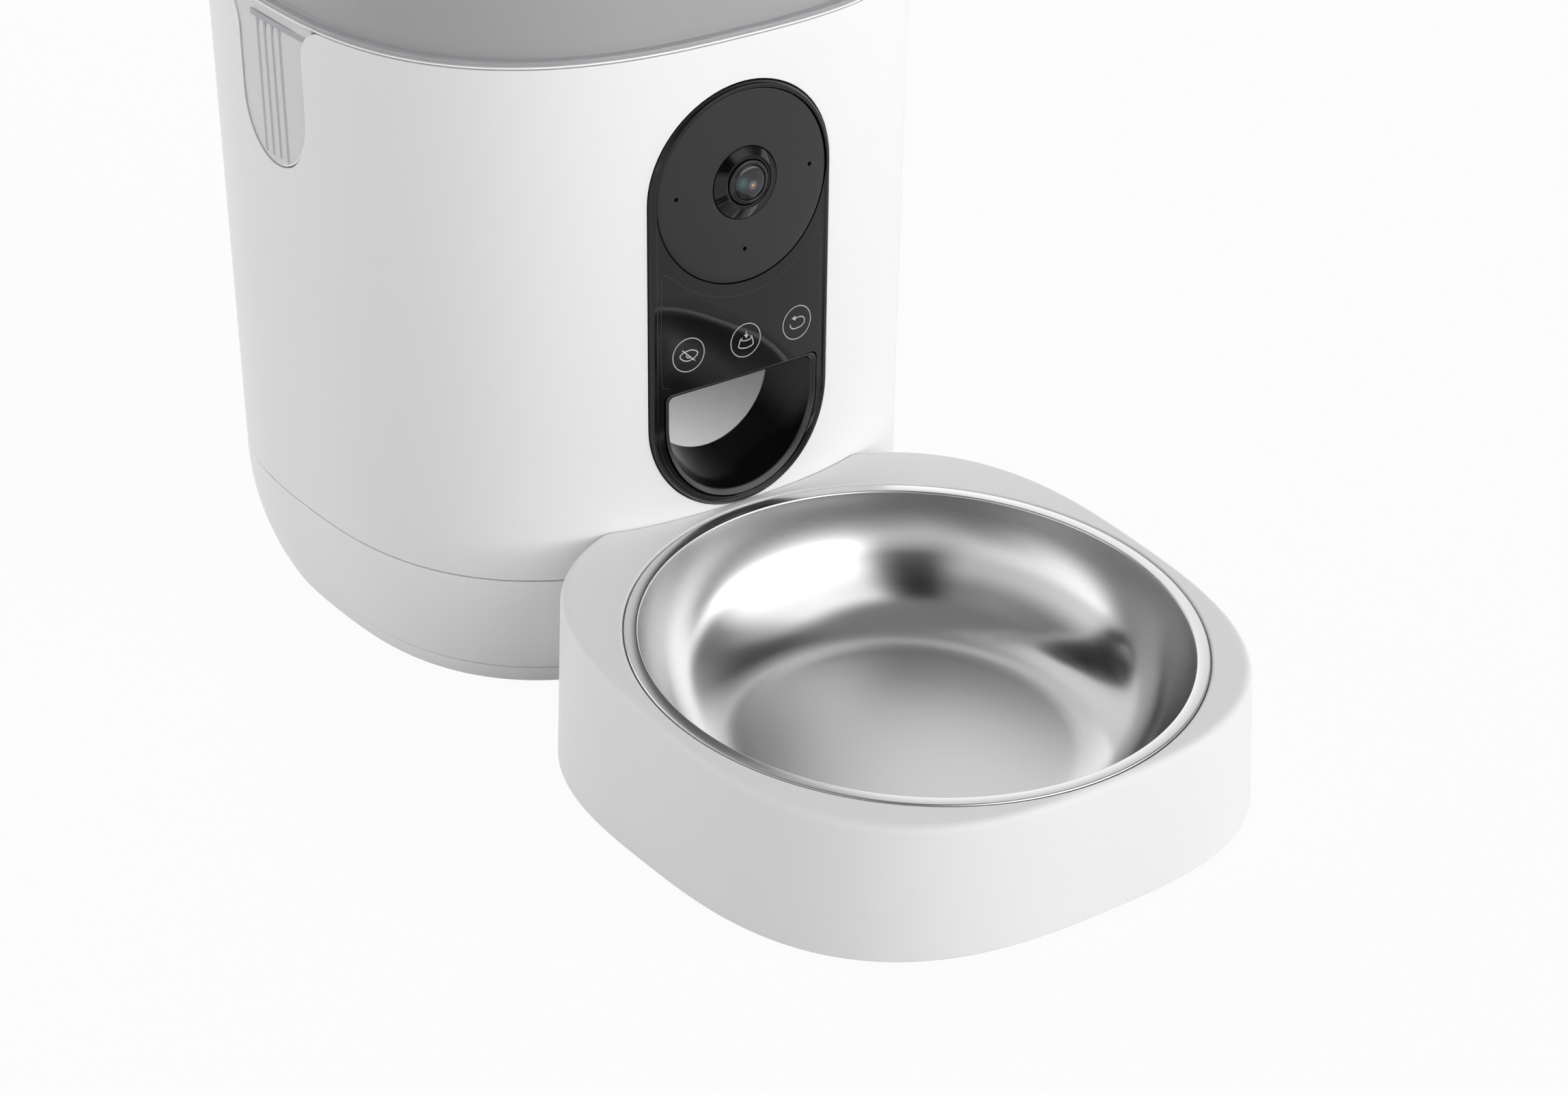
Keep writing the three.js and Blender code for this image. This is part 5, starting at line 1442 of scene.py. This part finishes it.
def lid():
    """The hollow lid with the plug that fits the tank and the collar for the desiccant holder."""
    corner, wall = 8.0, 3
    low_z = TANK_TOP + SEAT
    top, plug_low = low_z + LID_HEIGHT, low_z - PLUG_DEEP
    under, inside = top - wall, LID_HALF - wall
    plug_inside = PLUG_HALF - PLUG_WALL
    corners = [
        (0, under, 0), (LID_HALF - corner, under, 3), (inside, top - corner, 3), (inside, low_z + wall, 1),
        (plug_inside, low_z + wall, 1), (plug_inside, plug_low, 0.4), (PLUG_HALF, plug_low, 0.5),
        (PLUG_HALF, low_z, 0.3), (LID_HALF, low_z, 0.6), (LID_HALF, top, corner),
        (LID_HALF - 24, top + 0.35, 6), (0, top + 0.7, 0),
    ]
    cover = turned_soft("lid", corners, 14, tower_section, closed=False)
    inner, outer, collar_low, collar_top = 30.3, 32.1, under - 6.5, under + 1
    corners = [
        (inner, collar_low, 0.4), (outer, collar_low, 0.4), (outer, collar_top, 0), (inner, collar_top, 0),
    ]
    collar = turned_soft("collar", corners, 4, steps=ROUND_STEPS)
    return joined("lid", [cover, collar])


piece("lid_cover", lid(), white, "lid", "body_white", "lid")


def seal():
    """A soft ring with three fine lips."""
    top, tall, pitch = 283.4, 5.4, 1.7
    inner, root, tip = 81.5, 82.0, 83.0
    corners = [(inner, top - tall, 0.2)]
    for i in range(3):
        z = top - tall + 0.4 + i * pitch
        corners += [(root, z, 0.1), (tip, z + 0.55, 0.2), (root, z + 1.2, 0.1)]
    corners.append((inner, top, 0.2))
    return turned_soft("seal", corners, 3, tower_section)


piece("seal", seal(), silicone, "lid", "silicone_grey", "lid_seal")


# The portion wheel


def wheel():
    low_z, top, shaft = 99.8, 125.0, 6
    socket_top = low_z + 12.5
    corners = [
        (0, socket_top, 0), (shaft, socket_top, 0.3), (shaft, low_z, 0.3), (HUB_RADIUS, low_z, 0.6),
        (HUB_RADIUS, top, 1), (0, top, 0),
    ]
    hub = turned_soft("hub", corners, 5, closed=False, steps=64)
    vanes = SPOKES.grown(
        "vanes", Count=6, Width=2.2 * MM, Depth=(top - low_z) * MM, Radius=0.9 * MM,
        Inner=((HUB_RADIUS - 1.5) * MM, 0, 0), Outer=(43.7 * MM, 0, 0),
        Centre=placed((0, 0, (low_z + top) / 2)),
    )
    return joined("wheel", [hub, vanes])


piece("wheel", wheel(), silicone, "impeller", "silicone_grey", "impeller")


# The tray and the bowl


def tray_solid(name, profile):
    """A profile turned to the tray's section and leaned, coarse enough for a cutter."""
    return turned(name, profile, tray_section, steps=144, place=leaned)


def tray():
    """The leaning tray: the well for the bowl, the back cut to the tower's face, and the tongue."""
    edge, wall = 2.0, 2.6
    under = TRAY_TOP - TRAY_PLATE
    corners = [
        (0, under, 0), (TRAY_TOP_HALF - wall, under, 1.5), (TRAY_HALF - wall, UNDERSIDE, 0.4),
        (TRAY_HALF, UNDERSIDE, 0.7), (TRAY_TOP_HALF, TRAY_TOP, edge), (0, TRAY_TOP, 0),
    ]
    shell = turned_soft("tray", corners, 10, tray_section, closed=False, place=leaned)
    floor_top, opening = UNDERSIDE + wall, 58
    reach = TRAY_HALF - wall / 2
    floor = tray_solid(
        "floor", [(opening, UNDERSIDE), (reach, UNDERSIDE), (reach, floor_top), (opening, floor_top)]
    )
    blank_top = TRAY_TOP - TRAY_PLATE / 2
    blank = tray_solid(
        "blank", [(0, UNDERSIDE), (reach, UNDERSIDE), (TRAY_TOP_HALF - wall / 2, blank_top), (0, blank_top)]
    )
    skirt_corners = ((-2, -2.2), (-2, 3.0), (60, 3.0), (60, -2.2))
    skirt = turned("skirt", [(half_width(z) + out, z) for z, out in skirt_corners], tower_section)
    back = carved(skirt, [blank], "INTERSECT")
    body = carved(shell, [floor, back], "UNION")
    well = RIM_RADIUS + SEAT
    seat, rim_seat = well - LEDGE, -1.35
    deep = -(TRAY_PLATE + 3)
    mouth, steps = 0.7, 8
    cutter = softened(
        [(0, deep, 0), (seat, deep, 0), (seat, rim_seat, 0.3), (well, rim_seat, 0.15), (well, 0, 0)], 5,
        closed=False,
    )
    cutter = cutter[:-1] + [(well, -mouth)]
    for i in range(1, steps + 1):
        a = pi / 2 * i / steps
        cutter.append((well + mouth * (1 - cos(a)), -mouth + mouth * sin(a)))
    cutter += [(well + mouth, 4), (0, 4)]
    hole = turned("hole", cutter, steps=240, place=at_bowl)
    low_z, top = -3, 70
    tower_face = [(half_width(z) + TRAY_ROOM, z) for z in (low_z, top)]
    tower = turned("tower_cut", [(0, low_z), *tower_face, (0, top)], tower_section)
    feet = []
    for _, x, y in TRAY_FEET:
        recess = shifted(TRAY_FOOT_RADIUS + FOOT_ROOM, x, y, 48)
        feet.append(prism_z("foot_cut", recess, CUT_BELOW, FOOT_RECESS))
    body = carved(body, [tower, hole, *feet])
    outline = softened(rectangle(-TONGUE_HALF, TONGUE_LOW, TONGUE_HALF, TONGUE_TOP, 0.8), 4)
    tongue = prism_y("tongue", outline, -86.2, -75.5)
    return joined("tray", [body, tongue])


TRAY_FEET = four(54, -208.1, -106.1)
piece("tray", tray(), shaded_tray_white, "tray", "body_white", "bowl_tray")
for name, x, y in TRAY_FEET:
    foot = pad(TRAY_FOOT_RADIUS, x, y)
    piece("tray_pad_" + name, foot, rubber, "tray", "foot_rubber", "tray_foot_" + name)


def bowl():
    """Pressed steel of one thickness: flat rim with a rolled edge, steep wall and a wide round turn."""
    mouth, thick = RIM_RADIUS - RIM_WIDTH, 0.8
    start = Vector((mouth, 0))
    steep = Vector((mouth - thick, -BOWL_DEPTH * 0.6))
    turn = Vector((mouth - 0.5 * (mouth - BOWL_FLAT), -BOWL_DEPTH))
    flat = Vector((BOWL_FLAT, -BOWL_DEPTH))
    inner, outer = [], []
    steps = 48
    for i in range(steps + 1):
        t = i / steps
        s = 1 - t
        spot = start * s**3 + steep * (3 * s * s * t) + turn * (3 * s * t * t) + flat * t**3
        slope = (steep - start) * s * s + (turn - steep) * (2 * s * t) + (flat - turn) * t * t
        slope.normalize()
        inner.append((spot.x, spot.y))
        outer.append((spot.x - slope.y * thick, spot.y + slope.x * thick))
    lip = 0.55
    rolled = [(mouth + lip * (1 - cos(a)), -lip + lip * sin(a)) for a in [pi / 2 * i / 6 for i in range(7)]]
    inner = [p for p in inner if p[1] < -lip - 0.2]
    edge = softened(
        [
            (mouth + lip, 0, 0), (RIM_RADIUS, 0, 0.5), (RIM_RADIUS, -1.05, 0.4),
            (mouth + thick + 0.3, -1.05, 0.2), (mouth + thick, -2.2, 0),
        ],
        5,
        closed=False,
    )
    outer = [p for p in outer if p[1] < -2.6]
    centre = [(BOWL_FLAT * k / 6, -BOWL_DEPTH) for k in range(6)]
    profile = centre + inner[::-1] + rolled + edge + outer
    profile += [(BOWL_FLAT * k / 3, -BOWL_DEPTH - thick) for k in (2, 1, 0)]
    return turned("bowl", profile, steps=240, place=at_bowl, sharp=radians(60))


piece("bowl", bowl(), bowl_steel, "bowl", "bowl_steel", "steel_bowl")


# Finishes of the other nodes

FINISHES = {
    white: ["battery_door", "desiccant_holder"],
    frame_grey: ["mid_frame", "rotor_case", "portion_shield"],
    nylon: ["gear_case_lower", "gear_case_upper", "drive_gear", "idler_gear"],
    zinc: ["motor_pinion", "drive_motor", "battery_contact_front", "battery_contact_rear"],
    deep_black: ["battery_box", "power_inlet", "speaker"],
    board_green: ["camera_board", "touch_board", "main_board"],
    silicone: ["stirrer"],
    paper: ["desiccant_pack"],
}
for finish, names in FINISHES.items():
    for name in names:
        mesh = frame["nodes"][name].data
        mesh.materials.clear()
        mesh.materials.append(finish)


# Floor, light and camera


def looked_at(tree, share=1.0):
    """1 for the rays that show a background: the camera's own, those through clear plastic and, by a share,
    the mirrored ones."""
    ray = tree.nodes.new("ShaderNodeLightPath").outputs
    straight = result_of(tree, "MAXIMUM", ray["Is Camera Ray"], ray["Is Transmission Ray"])
    return result_of(tree, "MAXIMUM", straight, result_of(tree, "MULTIPLY", ray["Is Glossy Ray"], share))


def cleared(owner):
    """The node tree of a material or world, emptied."""
    owner.use_nodes = True
    owner.node_tree.nodes.clear()
    return owner.node_tree


def floor():
    """A pale floor that the camera sees as white, with the soft shadow of the object."""
    size = 6.0
    mesh = bpy.data.meshes.new("floor")
    corners = [(x, y, 0) for x, y, _ in rectangle(-size, -size, size, size)]
    mesh.from_pydata(corners, [], [(0, 1, 2, 3)])
    material = bpy.data.materials.new("pale_floor")
    tree = cleared(material)
    matte = added(tree, "ShaderNodeBsdfDiffuse", Color=grey(216)).outputs[0]
    glow = tree.nodes.new("ShaderNodeEmission").outputs[0]
    mixed = added(tree, "ShaderNodeMixShader", Fac=0.95, _1=matte, _2=glow).outputs[0]
    seen = added(tree, "ShaderNodeMixShader", Fac=looked_at(tree), _1=matte, _2=mixed).outputs[0]
    added(tree, "ShaderNodeOutputMaterial", Surface=seen)
    mesh.materials.append(material)
    ground = object_of("floor", mesh)


floor()


STUDIO_LEVEL = 5.0
STUDIO_CEILING = (0.05, 0.05, 0.05, 1)
STUDIO_FLOOR = [
    (-180, 2.2), (-160, 1.4), (-140, 0.8), (-120, 0.7), (-104, 0.7), (-92, 1.0), (-62, 1.9), (-46, 4.6),
    (-14, 5.0), (4, 3.5), (20, 0.6), (46, 0.5), (60, 0.95), (80, 1.3), (100, 1.6), (120, 2.0), (140, 3.1),
    (160, 3.4), (180, 2.3),
]
STUDIO_LOW = [
    (-180, 1.7), (-160, 1.7), (-140, 1.8), (-120, 1.1), (-100, 0.35), (-80, 0.2), (-66, 0.3), (-50, 1.7),
    (-20, 2.5), (6, 2.1), (20, 0.25), (28, 0.08), (42, 0.08), (56, 0.7), (80, 0.8), (100, 0.9), (120, 1.0),
    (140, 1.4), (160, 1.8), (180, 1.7),
]
STUDIO_HIGH = [
    (-180, 0.6), (-160, 0.8), (-140, 1.1), (-120, 0.5), (-100, 0.06), (-80, 0.12), (-62, 0.7), (-45, 1.4),
    (-20, 1.5), (6, 1.3), (20, 0.15), (28, 0.02), (42, 0.02), (56, 0.3), (80, 0.35), (100, 0.3), (120, 0.25),
    (140, 0.35), (160, 0.5), (180, 0.6),
]


def round_the_room(tree, turn, levels):
    """Brightness of the studio by direction: turns in degrees from the front, towards the left."""
    shades = [(way / 360 + 0.5, level / STUDIO_LEVEL) for way, level in levels]
    return ramp_of(tree, turn, [(place, (shade, shade, shade, 1)) for place, shade in shades])


def risen(tree, height, low, high):
    """0 for looks below one angle over the floor, 1 for those above the other."""
    return added(
        tree, "ShaderNodeMapRange", {"interpolation_type": "SMOOTHSTEP"}, Value=height,
        From_Min=sin(radians(low)), From_Max=sin(radians(high)),
    ).outputs["Result"]


def blended(tree, share, first, second):
    return added(
        tree, "ShaderNodeMix", {"data_type": "RGBA"}, Factor=share, A=first, B=second
    ).outputs["Result"]


def world():
    """A studio of large soft boxes under a dark ceiling, white where a look passes close over the floor."""
    sky = bpy.data.worlds.new("studio")
    bpy.context.scene.world = sky
    tree = cleared(sky)
    place = tree.nodes.new("ShaderNodeTexCoord").outputs["Generated"]
    way = added(tree, "ShaderNodeSeparateXYZ", _0=place).outputs
    back = [result_of(tree, "MULTIPLY", way[label], -1) for label in ("X", "Y")]
    turn = result_of(tree, "MULTIPLY_ADD", result_of(tree, "ARCTAN2", *back), 1 / (2 * pi), 0.5)
    height = way["Z"]
    room = round_the_room(tree, turn, STUDIO_FLOOR)
    room = blended(tree, risen(tree, height, 12, 20), room, round_the_room(tree, turn, STUDIO_LOW))
    room = blended(tree, risen(tree, height, 26, 48), room, round_the_room(tree, turn, STUDIO_HIGH))
    room = blended(tree, risen(tree, height, 56, 70), room, STUDIO_CEILING)
    plain = added(tree, "ShaderNodeBackground", Color=room, Strength=STUDIO_LEVEL).outputs[0]
    bright = added(tree, "ShaderNodeBackground", Color=(1, 1, 1, 1)).outputs[0]
    near_floor = result_of(tree, "SUBTRACT", 1, risen(tree, height, 2, 12))
    seen = looked_at(tree, near_floor)
    mixed = added(tree, "ShaderNodeMixShader", Fac=seen, _1=plain, _2=bright).outputs[0]
    added(tree, "ShaderNodeOutputWorld", Surface=mixed)


world()


def camera():
    lens = bpy.data.cameras.new("camera")
    lens.sensor_fit = "HORIZONTAL"
    lens.sensor_width = SENSOR
    lens.lens = SENSOR * FOCAL_PIXELS / PHOTO_WIDTH
    lens.shift_x = (PHOTO_WIDTH / 2 - CENTRE_PIXEL[0]) / PHOTO_WIDTH
    lens.shift_y = (CENTRE_PIXEL[1] - PHOTO_HEIGHT / 2) / PHOTO_WIDTH
    lens.clip_end = 50
    thing = bpy.data.objects.new("camera", lens)
    bpy.context.scene.collection.objects.link(thing)
    turn = Matrix.Rotation(radians(EYE_TURN), 4, "Z")
    tilt = Matrix.Rotation(radians(90 - EYE_FALL), 4, "X")
    roll = Matrix.Rotation(radians(EYE_ROLL), 4, "Z")
    thing.matrix_world = Matrix.Translation(placed(EYE)) @ turn @ tilt @ roll
    bpy.context.scene.camera = thing


camera()

bpy.context.scene.view_settings.view_transform = "Standard"
